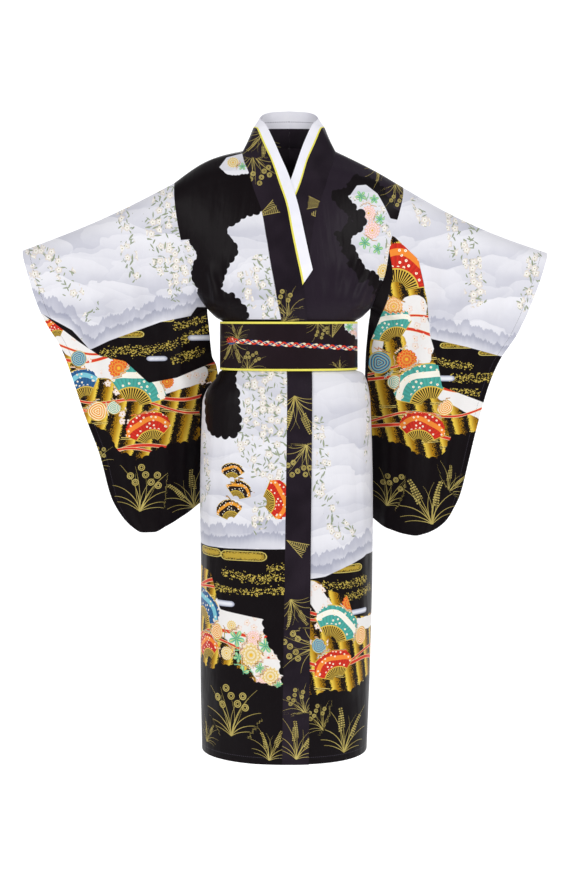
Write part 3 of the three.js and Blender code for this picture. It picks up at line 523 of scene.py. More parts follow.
# --- the print: fields worked out on the cloth -------------------------------------------------------

# Fronts are given as seen, by outward distance and height; laid_flat turns them to distances over the cloth.
# cloud, garden: areas of white and of coloured ground: their corners, the range of corners between which
#     lobes bite into the edge, and the lobes' size.
# base: points of the line where the cloud's misty foot stands.
# sprays, dust, pale: paths of blossoms, gold dust and pale ground in the garden, and how far each reaches.
# mist, gilt: level bars, white or gold: from, to, height and radius.
# gold: gold sprays of each kind: place, size and turn in degrees.
# figures, free: motifs in the garden and in the cloud, in the same way, by palette and shape.
PRINTS = {}
PRINTS["chest_right"] = {
    "cloud": [
        ([(0, -122), (60, -128), (72, -129), (103, -139), (138, -160), (136, -178), (111, -207),
          (126, -232), (146, -273), (142, -306), (124, -298), (91, -335), (87, -352), (0, -352)], (1, 12),
          9),
        ([(148, -34), (132, -8), (97, 2), (72, -6), (78, -48), (111, -54), (134, -50)], (3, 7), 5),
        ([(250, -186), (204, -184), (186, -219), (206, -262), (186, -292), (206, -330), (250, -330)],
          (1, 5), 9),
    ],
    "sprays": [
        ([(60, -235), (54, -270), (36, -300), (40, -352)], 24), ([(98, -262), (78, -320)], 14),
        ([(212, -200), (208, -250), (215, -320)], 20),
    ],
    "free": {"gold flower": [(118, -20, 13, 20)], "green leaves": [(98, -30, 10, 0)]},
}
PRINTS["chest_left"] = {
    "cloud": [
        ([(109, -96), (128, -92), (142, -71), (161, -69), (185, -88), (212, -140), (270, -150),
          (270, -320), (196, -286), (193, -268), (157, -252), (140, -228), (117, -182), (152, -158),
          (156, -137), (128, -112)], (8, 16), 10),
    ],
    "sprays": [([(190, -120), (210, -190), (200, -280)], 12), ([(130, -96), (172, -100)], 10)],
    "free": {
        "pink flower": [(166, -130, 16, 10), (174, -166, 18, -20)],
        "green leaves": [
            (150, -94, 13, 30), (158, -192, 15, -40), (186, -204, 14, 60), (190, -142, 12, 60),
            (178, -100, 11, 0),
        ],
        "gold flower": [(200, -250, 16, 0)],
    },
    "gold": {"grain": [(200, -40, 40, 200)], "rings": [(228, -90, 34, 190)]},
}
PRINTS["skirt_right"] = {
    "cloud": [
        ([(-20, -380), (116, -380), (118, -487), (109, -513), (106, -585), (142, -594), (165, -582),
          (174, -556), (175, -516), (162, -484), (148, -455), (144, -380), (480, -380), (480, -830),
          (-20, -822)], (1, 11), 11),
    ],
    "garden": [
        ([(520, -880), (230, -866), (183, -873), (163, -876), (142, -951), (49, -966), (44, -1000),
          (13, -1048), (10, -1112), (70, -1100), (110, -1072), (146, -1068), (158, -1088), (230, -1060),
          (310, -1095), (400, -1070), (520, -1100)], (5, 17), 9),
    ],
    "pale": [([(130, -965), (70, -990), (30, -1080)], 62)],
    "base": [(0, -815), (60, -812), (100, -822), (170, -826), (260, -818), (420, -822)],
    "sprays": [
        ([(40, -455), (60, -500), (30, -560), (42, -640), (20, -700), (60, -760)], 34),
        ([(84, -470), (74, -540), (96, -600), (60, -660)], 24), ([(10, -470), (16, -600), (10, -760)], 18),
        ([(180, -600), (170, -700), (190, -780)], 16), ([(330, -480), (340, -580), (320, -700)], 22),
        ([(410, -470), (420, -600), (400, -660)], 26), ([(12, -930), (4, -985)], 22),
        ([(90, -985), (50, -1040), (20, -1095)], 40),
    ],
    "figures": {
        "blue fan": [(176, -960, 44, 25), (420, -940, 46, 20)],
        "red fan": [(172, -1040, 36, -15), (362, -1020, 44, -20)],
        "red flower": [(206, -905, 26, 0), (260, -1030, 28, 0)],
        "gold flower": [(78, -1040, 24, 0), (38, -1082, 20, 0), (128, -1040, 14, 0), (118, -982, 11, 0)],
        "green leaves": [
            (108, -1008, 19, 30), (48, -1020, 17, 0), (96, -1078, 16, 0), (60, -1066, 13, 10),
            (104, -1046, 12, 40), (22, -1100, 13, 0),
        ],
        "orange ball": [(150, -998, 18, 0), (436, -1030, 28, 0)],
        "pink flower": [(74, -1004, 14, 0), (56, -1098, 13, 0)], "green fan": [(300, -960, 50, 0)],
    },
    "free": {
        "dark fan": [(118, -668, 21, 0), (104, -706, 24, 20), (124, -748, 26, -16)],
        "red fan": [(30, -722, 36, 80)],
    },
    "gold": {
        "rings": [(120, -1150, 64, 0), (300, -1185, 50, 12)],
        "grain": [
            (34, -1215, 42, 10), (215, -1165, 46, -10), (168, -1210, 30, 20), (390, -1170, 58, -8),
        ],
    },
    "mist": [(120, 165, -938, 9), (212, 270, -945, 8), (250, 330, -905, 7)],
    "gilt": [(60, 128, -838, 14), (150, 180, -836, 12), (230, 300, -840, 12)],
    "dust": [
        ([(0, -880), (60, -884), (130, -876)], 12), ([(6, -858), (40, -862)], 9),
        ([(10, -905), (80, -912), (165, -905)], 9), ([(330, -850), (450, -846)], 10),
    ],
}
PRINTS["skirt_left"] = {
    "cloud": [
        ([(20, -380), (480, -380), (480, -850), (200, -846), (162, -843), (115, -862), (74, -880),
          (40, -884)], (0, 0), 11),
    ],
    "garden": [
        ([(30, -882), (62, -890), (74, -906), (118, -921), (131, -965), (162, -973), (240, -960),
          (340, -935), (520, -950), (520, -1110), (380, -1090), (240, -1120), (167, -1105), (115, -1127),
          (84, -1120), (30, -1134)], (7, 16), 9),
    ],
    "pale": [([(45, -905), (75, -950)], 26), ([(140, -985), (200, -990)], 20)],
    "base": [(0, -884), (74, -880), (115, -862), (162, -843), (240, -846), (420, -850)],
    "sprays": [
        ([(60, -560), (70, -640), (62, -700)], 16), ([(58, -700), (84, -730), (96, -790)], 20),
        ([(160, -480), (168, -560), (160, -640)], 14), ([(300, -480), (290, -600), (310, -660)], 24),
        ([(390, -500), (400, -640), (390, -740)], 20), ([(56, -900), (64, -960), (58, -1010)], 30),
        ([(110, -770), (140, -800)], 10),
    ],
    "figures": {
        "green fan": [(98, -985, 46, -28), (430, -1050, 36, 0)],
        "red fan": [(92, -1068, 38, 20), (220, -1010, 46, 0), (376, -1000, 46, 14)],
        "red flower": [(124, -938, 19, 0), (262, -1070, 22, 0)],
        "orange ball": [(150, -1010, 20, 0), (350, -960, 18, 0)], "blue ball": [(62, -1020, 17, 0)],
        "blue fan": [(310, -1040, 44, -10)],
    },
    "gold": {
        "grain": [(120, -1190, 60, -8), (300, -1180, 50, 0)],
        "rings": [(60, -1165, 34, 20), (196, -1190, 52, 12), (390, -1185, 54, 8)],
    },
    "mist": [(118, 158, -958, 8), (220, 290, -925, 8)],
    "gilt": [(92, 142, -866, 11), (190, 240, -862, 12)],
    "dust": [
        ([(70, -898), (110, -900), (160, -893)], 10), ([(120, -925), (170, -915)], 11),
        ([(190, -890), (300, -890)], 10), ([(330, -905), (430, -900)], 11),
    ],
}
PRINTS["sleeve_right"] = {
    "cloud": [
        ([(150, 40), (700, 40), (700, -341), (521, -341), (460, -375), (423, -417), (383, -398),
          (274, -358), (210, -345), (196, -326), (150, -326)], (0, 0), 9),
    ],
    "garden": [
        ([(560, -330), (521, -341), (450, -398), (402, -430), (349, -441), (300, -488), (242, -478),
          (150, -440), (150, -500), (182, -502), (189, -622), (264, -627), (311, -657), (370, -640),
          (390, -598), (428, -582), (500, -560)], (7, 16), 10),
    ],
    "pale": [
        ([(520, -352), (470, -400), (400, -452)], 34),
        ([(420, -450), (330, -470), (300, -500), (200, -468)], 34),
    ],
    "base": [
        (150, -324), (210, -342), (274, -356), (383, -396), (423, -417), (460, -375), (521, -341),
        (600, -330),
    ],
    "sprays": [
        ([(350, -110), (342, -180), (330, -260)], 20), ([(275, -95), (285, -150), (270, -240)], 26),
        ([(250, -80), (244, -200), (240, -300)], 20),
        ([(545, -205), (500, -225), (470, -262), (455, -300)], 24), ([(540, -240), (520, -290)], 12),
        ([(400, -320), (430, -350)], 10), ([(232, -190), (215, -260)], 22),
        ([(190, -440), (215, -455), (180, -490)], 24), ([(455, -395), (430, -440)], 16),
        ([(385, -470), (360, -520), (350, -570)], 18),
    ],
    "figures": {
        "red fan": [(502, -378, 28, -30), (300, -590, 42, -14)], "green fan": [(322, -500, 54, 20)],
        "blue fan": [(448, -500, 42, -30)], "red flower": [(362, -456, 23, 0), (262, -486, 15, 0)],
        "orange ball": [(408, -548, 22, 0)], "blue ball": [(448, -436, 18, 0)],
        "green ball": [(372, -540, 15, 0)],
    },
    "gold": {"rings": [(310, -705, 60, 8), (412, -640, 36, 10)], "grain": [(222, -715, 54, -18)]},
    "mist": [(170, 208, -392, 9), (268, 296, -436, 8)],
    "gilt": [(318, 382, -384, 9), (252, 300, -352, 7)],
    "dust": [
        ([(318, -416), (360, -420), (395, -424)], 12), ([(175, -372), (250, -408), (330, -424)], 12),
        ([(180, -350), (240, -368)], 10), ([(190, -420), (245, -440)], 12),
    ],
}
PRINTS["sleeve_left"] = {
    "cloud": [
        ([(150, 40), (700, 40), (700, -433), (459, -433), (379, -411), (300, -393), (294, -354),
          (287, -279), (273, -226), (222, -178), (150, -178)], (0, 0), 9),
    ],
    "garden": [
        ([(205, -172), (222, -178), (273, -226), (294, -311), (300, -386), (316, -439), (326, -496),
          (406, -526), (450, -545), (440, -598), (390, -598), (348, -609), (332, -651), (284, -657),
          (247, -630), (183, -614), (172, -476), (176, -400), (209, -311), (220, -258)], (9, 15), 10),
    ],
    "pale": [
        ([(262, -330), (280, -400), (270, -440)], 44), ([(320, -500), (400, -540), (440, -560)], 30),
        ([(200, -300), (190, -420)], 16),
    ],
    "base": [(150, -2000), (285, -2000), (300, -395), (379, -409), (459, -433), (600, -450)],
    "sprays": [
        ([(340, -120), (352, -175), (345, -220)], 16),
        ([(388, -130), (380, -200), (390, -260), (395, -310)], 26), ([(262, -100), (285, -145)], 14),
        ([(520, -220), (512, -270), (495, -320)], 18), ([(262, -300), (276, -350), (270, -410)], 26),
        ([(292, -420), (276, -450), (290, -500)], 18), ([(410, -492), (440, -520)], 14),
    ],
    "figures": {
        "red fan": [(246, -250, 60, -24), (284, -590, 42, -10)],
        "green fan": [(216, -372, 44, 24), (286, -500, 54, 24)], "blue ball": [(196, -446, 26, 0)],
        "orange flower": [(222, -325, 20, 0)], "red flower": [(252, -438, 22, 0)],
        "orange ball": [(332, -540, 18, 0)], "green ball": [(228, -488, 16, 0)],
    },
    "gold": {"grain": [(290, -728, 66, 14), (350, -690, 40, -20)], "rings": [(226, -715, 46, -20)]},
    "mist": [(322, 344, -478, 9), (480, 540, -470, 7)],
    "gilt": [(330, 384, -408, 8), (410, 450, -424, 7)],
    "dust": [
        ([(312, -440), (345, -448), (385, -452)], 10), ([(345, -478), (410, -476), (470, -470)], 12),
        ([(350, -505), (400, -510)], 10),
    ],
}
NO_BASE = [(0, -2000), (300, -2000)]
# numbers of the motifs' kinds are places in these lists
GOLD_KINDS = ["grain", "rings", "leaf"]
SHAPES = ["flower", "fan", "ball", "leaves"]
PALETTES = {  # main colour, second colour
    "red": ("d93324", "ee8a34"), "green": ("4fb0a4", "f4efe2"), "blue": ("2d6396", "7cc0cf"),
    "gold": ("f1ead6", "dcb53a"), "pink": ("f0b4bc", "fbeef0"), "orange": ("ea8a34", "f6e6c0"),
    "dark": ("241a16", "e59a34"),
}
# gold sprays on the band of each front, by x and height
BAND_GOLD = {
    "grain": [
        (-62, 12, 40, 165), (20, -560, 54, 190), (16, -960, 40, 200), (24, -1205, 50, -12),
        (4, -345, 26, -50),
    ],
    "rings": [
        (-64, -40, 44, 200), (22, -648, 44, 160), (20, -1020, 50, 88), (18, -1130, 34, 30),
        (-12, -318, 38, 20),
    ],
    "leaf": [(14, -815, 26, 60), (-46, -128, 26, 120)],
}
UNDER_BAND_GOLD = {"leaf": [(60, -112, 24, 262), (66, -138, 22, 225), (96, -70, 20, -20)]}
# the belt's gold sprays, the corners of its white patch, and the motifs on the patch
BELT_GOLD = {
    "grain": [(-116, -424, 34, 184), (-110, -374, 22, 6), (100, -446, 16, 30)],
    "rings": [(-78, -436, 28, -20), (66, -374, 26, 200)],
    "leaf": [(96, -372, 22, 160)],
}
BELT_PATCH = [(106, -330), (200, -330), (200, -396), (139, -394), (122, -383), (110, -368)]
BELT_FIGURES = {"green leaves": [(126, -368, 11, 20)], "pink flower": [(136, -384, 9, 0)]}
OUTSIDE = -99.0          # a field's value far from all its areas
DEEPEST = 60             # fields of areas are cut off at this distance
LOBE_PITCH = 1.6         # spacing of the lobes, in their sizes
BAR_FLATNESS = 1.5
MOTIF_MARGIN = 7         # how far a motif's frame holds past its rim


def line_distance(p, q, start, end):
    """Distance to a straight line between two points: to the nearest place on it."""
    dx, dz = end[0] - start[0], end[1] - start[1]
    t = np.clip(((p - start[0]) * dx + (q - start[1]) * dz) / (dx * dx + dz * dz), 0, 1)
    return np.hypot(p - start[0] - t * dx, q - start[1] - t * dz)


def polygon(p, q, corners):
    """Distance to a closed outline, positive inside: the least to its edges, its sign by ray crossings."""
    best, inside = np.full(p.shape, np.inf), np.zeros(p.shape, bool)
    for (x0, z0), (x1, z1) in zip(corners, corners[1:] + corners[:1]):
        best = np.minimum(best, line_distance(p, q, (x0, z0), (x1, z1)))
        inside ^= ((z0 > q) != (z1 > q)) & (p < x0 + (q - z0) * (x1 - x0) / (z1 - z0 or 1))
    return np.where(inside, best, -best)


def bitten(shape, p, q, corners, lobes, size, seed):
    """The shape less round lobes, of varied size, whose middles follow the outline's edges in the range."""
    rng = np.random.default_rng(seed)
    loop = corners + corners[:1]
    for (x0, z0), (x1, z1) in zip(loop[lobes[0]:lobes[1]], loop[lobes[0] + 1:lobes[1] + 1]):
        count = max(1, round(math.hypot(x1 - x0, z1 - z0) / (LOBE_PITCH * size)))
        for step in range(count):
            t = (step + rng.uniform(0.4, 0.6)) / count
            radius = size * rng.uniform(0.75, 1.12)
            shape = np.minimum(shape, np.hypot(p - mix(x0, x1, t), q - mix(z0, z1, t)) - radius)
    return shape


def nearness(p, q, paths):
    """1 on the paths, falling to 0 at each one's width."""
    most = np.zeros(p.shape)
    for points, width in paths:
        for start, end in zip(points, points[1:]):
            most = np.maximum(most, 1 - smooth(0.35, 1.0, line_distance(p, q, start, end) / width))
    return most


def bars(p, q, rows):
    """Distance into rounded level bars, positive inside: from x to x at a height, with a radius."""
    best = np.full(p.shape, OUTSIDE)
    for x0, x1, z, radius in rows:
        best = np.maximum(best, radius - np.hypot(p - np.clip(p, x0, x1), (q - z) * BAR_FLATNESS))
    return best


def motifs(p, q, rows):
    """The frame of the nearest motif: its own x and y, 1 at its rim, a mark that it holds here, and its kind.

    The place is moved to the motif's middle, divided by its size and turned back by its angle."""
    local, kind, nearest = np.zeros(p.shape + (3,)), np.zeros(p.shape), np.full(p.shape, np.inf)
    for x, z, size, turn, sort in rows:
        c, s = math.cos(math.radians(turn)), math.sin(math.radians(turn))
        dx, dz = (p - x) / size, (q - z) / size
        far = np.hypot(dx, dz)
        mine = (far - 1) * size < nearest
        nearest = np.where(mine, (far - 1) * size, nearest)
        holds = 1.0 * (far < 1 + MOTIF_MARGIN / max(size, MOTIF_MARGIN))
        own = np.stack([c * dx + s * dz, -s * dx + c * dz, holds], -1)
        local, kind = np.where(mine[..., None], own, local), np.where(mine, sort, kind)
    return local, kind


def laid_flat(side, x, z):
    """The distance from the centre along the front's section at height z to where it is x out."""
    half = float(WIDTH[side](z))
    t = np.linspace(0, 1, 120) ** 0.6
    y = chest_y(OUTWARD[side] * half * t, np.full(t.shape, float(z)))
    arc = np.concatenate([[0], np.cumsum(np.hypot(np.diff(half * t), np.diff(y)))])
    return float(np.interp(min(x, half), half * t, arc)) + max(0, x - half)


def figure_kind(words):
    """A motif's number: its shape's place in the list, and its palette's as a fraction."""
    palette, shape = words.split()
    return SHAPES.index(shape) + (list(PALETTES).index(palette) + 0.5) / len(PALETTES)


def placed(groups, number_of, flat=lambda x, z: x):
    """All rows of a table of motifs, laid flat, each with its kind's number."""
    listed = [(*row, number_of(name)) for name, rows in groups.items() for row in rows]
    return [(flat(x, z), z, size, turn, number) for x, z, size, turn, number in listed]


def print_fields(p, q, design, flat, seed):
    """All fields of one design over the cloth's points, its x values first laid flat."""
    place = lambda points: [(flat(x, z), z) for x, z in points]
    fields = {}
    for key in ("cloud", "garden"):
        depth = np.full(p.shape, OUTSIDE)
        for k, (corners, lobes, size) in enumerate(design.get(key, [])):
            corners = place(corners)
            area = bitten(polygon(p, q, corners), p, q, corners, lobes, size, seed + k)
            depth = np.maximum(depth, area)
        fields[key] = np.clip(depth, -DEEPEST, DEEPEST)
    base = np.array(design.get("base", NO_BASE), float)
    fields["above"] = q - np.interp(p, [flat(x, z) for x, z in base], base[:, 1])
    for key in ("sprays", "dust", "pale"):
        fields[key] = nearness(p, q, [(place(points), width) for points, width in design.get(key, [])])
    for key in ("mist", "gilt"):
        fields[key] = bars(p, q, [(flat(a, z), flat(b, z), z, r) for a, b, z, r in design.get(key, [])])
    for key, number_of in (("gold", GOLD_KINDS.index), ("figures", figure_kind), ("free", figure_kind)):
        fields[key], fields[key + "_kind"] = motifs(p, q, placed(design.get(key, {}), number_of, flat))
    return fields


def joined(fields_a, fields_b, choose_a):
    """Fields that are a's where chosen and b's elsewhere."""
    pick = {}
    for key, a in fields_a.items():
        chosen = choose_a[..., None] if a.ndim == 3 else choose_a
        pick[key] = np.where(chosen, a, fields_b[key])
    return pick


# --- the print: nodes --------------------------------------------------------------------------------

class Wire:
    """An output in a node tree. Sums with it add Math nodes to the tree; a | b is the larger of the two."""

    def __init__(self, tree, socket):
        self.tree, self.socket = tree, socket

    def do(self, operation, *others):
        """The Math node of this name, with the wire as its first value."""
        return make(self.tree, "Math", (self, *others), operation=operation)[0]

    def fract(self):
        """What is left of the value over its whole number."""
        return self.do("FRACT")

    def ease(self, start, end):
        """0 before start, 1 after end, with an even ease between."""
        values = (self, start, end, 0.0, 1.0)
        return make(self.tree, "MapRange", values, interpolation_type="SMOOTHSTEP")[0]

    def __rsub__(self, other):
        return make(self.tree, "Math", (other, self), operation="SUBTRACT")[0]

    __add__ = __radd__ = lambda self, other: self.do("ADD", other)
    __mul__ = __rmul__ = lambda self, other: self.do("MULTIPLY", other)
    __sub__ = lambda self, other: self.do("SUBTRACT", other)
    __truediv__ = lambda self, other: self.do("DIVIDE", other)
    __pow__ = lambda self, other: self.do("POWER", other)
    __lt__ = lambda self, other: self.do("LESS_THAN", other)
    __gt__ = lambda self, other: self.do("GREATER_THAN", other)
    __or__ = lambda self, other: self.do("MAXIMUM", other)
    __abs__ = lambda self: self.do("ABSOLUTE")


def srgb(code):
    """A colour written as six hexadecimal digits, in linear light."""
    parts = [int(code[i:i + 2], 16) / 255 for i in (0, 2, 4)]
    return tuple(c / 12.92 if c <= 0.04045 else ((c + 0.055) / 1.055) ** 2.4 for c in parts) + (1.0,)


def join(value, socket):
    """Links a wire to the socket, or sets the socket to a plain value or a colour's digits."""
    if isinstance(value, Wire):
        value.tree.links.new(value.socket, socket)
    else:
        socket.default_value = srgb(value) if isinstance(value, str) else value


def make(tree, kind, inputs, **settings):
    """A shader node with these settings, its inputs joined by place or by name. Gives its outputs."""
    node = tree.nodes.new("ShaderNode" + kind)
    for key, value in settings.items():
        setattr(node, key, value)
    for key, value in inputs.items() if isinstance(inputs, dict) else enumerate(inputs):
        join(value, node.inputs[key])
    return [Wire(tree, socket) for socket in node.outputs]


def paint(factor, under, over):
    """under where factor is 0 and over where it is 1."""
    tree = next(value.tree for value in (factor, under, over) if isinstance(value, Wire))
    return make(tree, "Mix", {0: factor, 6: under, 7: over}, data_type="RGBA")[2]


def layered(color, *layers):
    """The colour with each layer's colour painted over it by the layer's factor, in order."""
    for factor, over in layers:
        color = paint(factor, color, over)
    return color


def any_of(masks):
    """The largest of the masks at each place."""
    masks = list(masks)
    most = masks[0]
    for mask in masks[1:]:
        most = most | mask
    return most


def distance(x, y):
    """The distance of (x, y) from the origin."""
    return (x * x + y * y).do("SQRT")


def split(vector):
    """The three parts of a vector."""
    return make(vector.tree, "SeparateXYZ", (vector,))


def combine(x, y, z=0.0):
    """The vector with these parts."""
    return make(x.tree, "CombineXYZ", (x, y, z))[0]


def noise(vector, scale, detail=2.0, rough=0.5):
    """Soft noise from 0 to 1, about 0.5, with finer noise added by detail and roughness."""
    inputs = {"Vector": vector, "Scale": scale, "Detail": detail, "Roughness": rough}
    return make(vector.tree, "TexNoise", inputs)[0]


def cells(vector, scale, spread=1.0):
    """Flat cells: the distance to the cell's point, its random numbers, and the place from its point."""
    inputs = {"Vector": vector, "Scale": scale, "Randomness": spread}
    far, color, point = make(vector.tree, "TexVoronoi", inputs, voronoi_dimensions="2D")[:3]
    x, y, _ = split(make(vector.tree, "VectorMath", (vector, point), operation="SUBTRACT")[0])
    return far, split(color), x * scale, y * scale


def chance(value):
    """A random number from 0 to 1 that is the same wherever the value is."""
    return make(value.tree, "TexWhiteNoise", {"W": value}, noise_dimensions="1D")[0]


def field(cloth, name):
    """Another field of the mesh that carries the cloth's coordinates, as a number."""
    return make(cloth.tree, "Attribute", (), attribute_name=name)[2]


def vector_field(cloth, name):
    """The same, as a vector."""
    return make(cloth.tree, "Attribute", (), attribute_name=name)[1]


def stepped(value, colors):
    """Equal steps of colour from 0 to 1."""
    node = value.tree.nodes.new("ShaderNodeValToRGB")
    node.color_ramp.interpolation = "CONSTANT"
    marks = node.color_ramp.elements
    while len(marks) < len(colors):
        marks.new(0.5)
    for k in range(len(colors)):
        marks[k].position = k / len(colors)
    for mark, code in zip(marks, colors):
        mark.color = srgb(code)
    join(value, node.inputs[0])
    return Wire(value.tree, node.outputs[0])


def group(name, inputs, outputs, build):
    """A shader node group; build takes its input wires and gives its outputs' wires in order."""
    tree = bpy.data.node_groups.new(name, "ShaderNodeTree")
    for way, sockets in (("INPUT", inputs), ("OUTPUT", outputs)):
        for key, kind in sockets.items():
            tree.interface.new_socket(key, in_out=way, socket_type="NodeSocket" + kind)
    entry, leave = tree.nodes.new("NodeGroupInput"), tree.nodes.new("NodeGroupOutput")
    made = build(*[Wire(tree, socket) for socket in entry.outputs if socket.name in inputs])
    for value, socket in zip(made, leave.inputs):
        join(value, socket)
    return tree


def use(source, *values):
    """Places a group in a tree and gives its outputs."""
    outputs = make(values[0].tree, "Group", values, node_tree=source)
    return outputs[0] if len(outputs) == 1 else outputs


def build_weave(cloth):
    """Satin: long fine floats of thread, and slow soft crumples; height in mm, and a tone about 0.5."""
    x, y, _ = split(cloth)
    floats = noise(combine(x * 2.4, y * 0.22), 1.0, 1.0)
    crumple = noise(combine(x * 0.022, y * 0.011), 1.0, 2.0, 0.45)
    creases = noise(combine(x * 0.055 + y * 0.006, y * 0.006), 1.0, 2.0, 0.5)
    small = noise(combine(x * 0.07, y * 0.05), 1.0, 1.0)
    return floats * 0.05 + crumple * 4.2 + creases * 2.4 + small * 0.6, floats * 0.5 + crumple * 0.5


FULL_TURN = 6.28
HOLDS = 0.995        # a motif's frame holds where its mark is above this

# a grass tuft: each blade's lean at the root, how much it bows, and its length, in the tuft's own frame
BLADES = [
    (-0.95, -0.80, 1.30), (-0.62, -1.00, 1.50), (-0.30, -0.90, 1.76), (-0.12, -0.45, 1.88),
    (0.16, 0.40, 1.86), (0.30, 0.85, 1.70), (0.62, 1.05, 1.46), (0.98, 0.85, 1.22),
    (-0.20, 0.70, 1.35), (0.40, -0.60, 1.25),
]
BLADE_WIDTH = 0.0075
ROOT = 0.95          # how far the root lies under the frame's middle
# the same for the stems that carry grain, and the middles of the ringed flowers
STEMS = [(-0.42, 0.25, 1.35), (-0.08, -0.2, 1.60), (0.24, 0.3, 1.42), (0.52, -0.2, 1.10)]
STEM_WIDTH = 0.007
HEADS = [(-0.50, 0.26), (-0.30, 0.05), (-0.16, 0.60), (0.02, 0.36), (0.42, 0.38), (0.24, 0.12), (0.50, 0.02)]


def build_gold_spray(local, kind):
    """A grass tuft of bowed blades, with 0 grain or 1 ringed flowers, mirrored for 1; 2 is a barbed leaf.

    A blade is part of the circle that leaves the root at its lean, drawn where the circle's line is near.
    The leaf's outline tapers straight on each side of its rib; its barbs are steps of height less side."""
    x, y, here = split(local)
    up = y + ROOT
    x = x * (1.0 - (kind > 0.5) * (kind < 1.5) * 2.0)
    reach = distance(x, up)

    def bowed(lean, bow, length, width):
        """A blade's mask, narrower to its tip, the distance from its line, and where the line runs onward."""
        right, ahead = math.cos(lean), math.sin(lean)
        off = abs(distance(x - right / bow, up + ahead / bow) - abs(1 / bow))
        onward = x * ahead + up * right > 0.0
        return (off < (length * 1.2 - reach) * width) * (reach < length) * onward, off, onward

    blades = [bowed(*blade, BLADE_WIDTH)[0] for blade in BLADES]
    grains, rings = [], []
    for lean, bow, length in STEMS:
        stem, off, onward = bowed(lean, bow, length, STEM_WIDTH)
        blades.append(stem)
        seed = ((reach * 12.0).fract() - 0.5) ** 2.0 + ((off - 0.045) * 12.0) ** 2.0 < 0.10
        grains.append(seed * (reach > length * 0.55) * (reach < length) * onward)
    for head_x, head_y in HEADS:
        far = distance(x - head_x, y - head_y)
        rings += [abs(far - 0.105) < 0.016, abs(far - 0.055) < 0.014]
    tuft = any_of(blades + [any_of(grains) * (kind < 0.5), any_of(rings) * (kind > 0.5)])
    side = abs(x)
    edge = (1.75 - up) * 0.34
    barbs = (((up - side * 0.9) * 5.0).fract() < 0.30) * (side < edge) * (side > 0.03) * (up > 0.12)
    leaf = any_of([barbs, (side < 0.022) * (up > 0.0), abs(side - edge) < 0.024]) * (up < 1.8) * (up > 0.06)
    return [(tuft * (kind < 1.5) | leaf * (kind > 1.5)) * (here > HOLDS)]


def build_dust(cloth, density):
    """Small and larger gold flecks, each in its own cell, more of them where the density is higher."""
    x, y, _ = split(cloth)
    flat = combine(x * 0.75 + y * 0.12, y)
    flecks = []
    for scale, least, spread, share in ((0.36, 0.14, 0.34, 0.85), (0.15, 0.12, 0.22, 0.5)):
        far, rand, _, _ = cells(flat, scale)
        flecks.append((far < rand[1] * spread + least) * (rand[0] < density * share))
    return [any_of(flecks)]


def build_blossoms(cloth, density):
    """Five-petalled blossoms and slender leaves, each in its own cell and turned its own way."""
    x, y, _ = split(cloth)
    far, rand, lx, ly = cells(combine(x, y), 0.060, spread=0.85)
    turn = lx.do("ARCTAN2", ly) + rand[1] * FULL_TURN
    rim = abs((turn * 2.5).do("COSINE")) * 0.18 + (rand[2] * 0.10 + 0.27)
    petal = (rim - far).ease(-0.02, 0.03) * (rand[0] < density * 0.60)
    leaves = []
    for shift, scale in ((31.7, 0.056), (87.3, 0.070), (143.9, 0.084)):
        _, own, ex, ey = cells(combine(x + shift, y + shift * 0.4), scale, spread=0.9)
        angle = own[1] * FULL_TURN
        c, s = angle.do("COSINE"), angle.do("SINE")
        along, off = ex * c + ey * s, abs(ey * c - ex * s)
        lens = 0.105 - (along / 0.50) ** 2.0 * 0.105 - off > 0.0
        leaves.append(lens * (own[0] < density * 0.55))
    return [petal, far / rim, (far < 0.08) * petal, any_of(leaves) * (1.0 - petal)]


# layers of puffs, back to front: shift, cells per mm, how bright
PUFFS = [(0.0, 0.0100, 0.75), (47.0, 0.0125, 0.85), (118.0, 0.0160, 0.95), (203.0, 0.0115, 1.0)]
PUFF_SIZE = 0.56     # in cells


def build_clouds(cloth):
    """Banks of cloud: layers of round puffs in cells, drawn out level, each crisp and bright at its top."""
    x, y, _ = split(cloth)
    wave = noise(combine(x * 0.020, y * 0.026), 1.0, 2.0, 0.5) * 34.0
    tone = noise(combine(x * 0.010, y * 0.040), 1.0, 3.0, 0.6) * 0.30 + 0.22
    for shift, scale, strength in PUFFS:
        place = combine(x * 0.40 + wave + shift, y + wave * 0.8 + shift * 1.7)
        far, rand, _, up = cells(place, scale, spread=0.9)
        top = (up / PUFF_SIZE).ease(-0.75, 1.0)
        puff = (PUFF_SIZE - far).ease(0.0, 0.02) * top * (rand[0] * 0.55 + 0.45)
        tone = tone * (1.0 - puff) + puff * strength
    return [tone]


STALK_PITCH = 33.0
JOINT_PITCH = 96.0


def build_stalks(cloth):
    """Leaning bamboo stalks: light rises and falls across each, stippled where it is less than a noise."""
    x, y, _ = split(cloth)
    bow = y + (x * 0.018).do("SINE") * 9.0
    u = (x * 0.95 + bow * 0.20) / STALK_PITCH
    t = u.fract()
    knot = abs((bow / JOINT_PITCH + chance(u.do("FLOOR"))).fract() - 0.5)
    _, grain, _, _ = cells(combine(x, y), 0.85)
    light = t.ease(0.0, 0.22) * (1.0 - t.ease(0.30, 0.88)) * (knot.ease(0.0, 0.06) * 0.55 + 0.45)
    body = paint(t.ease(0.10, 0.5), "ecca4c", "a87912")
    lit = (light - grain[0] * 0.86).ease(-0.10, 0.12)
    return [layered("150e0b", (lit, body), (abs(knot - 0.018) < 0.006, "e8cf74"))]


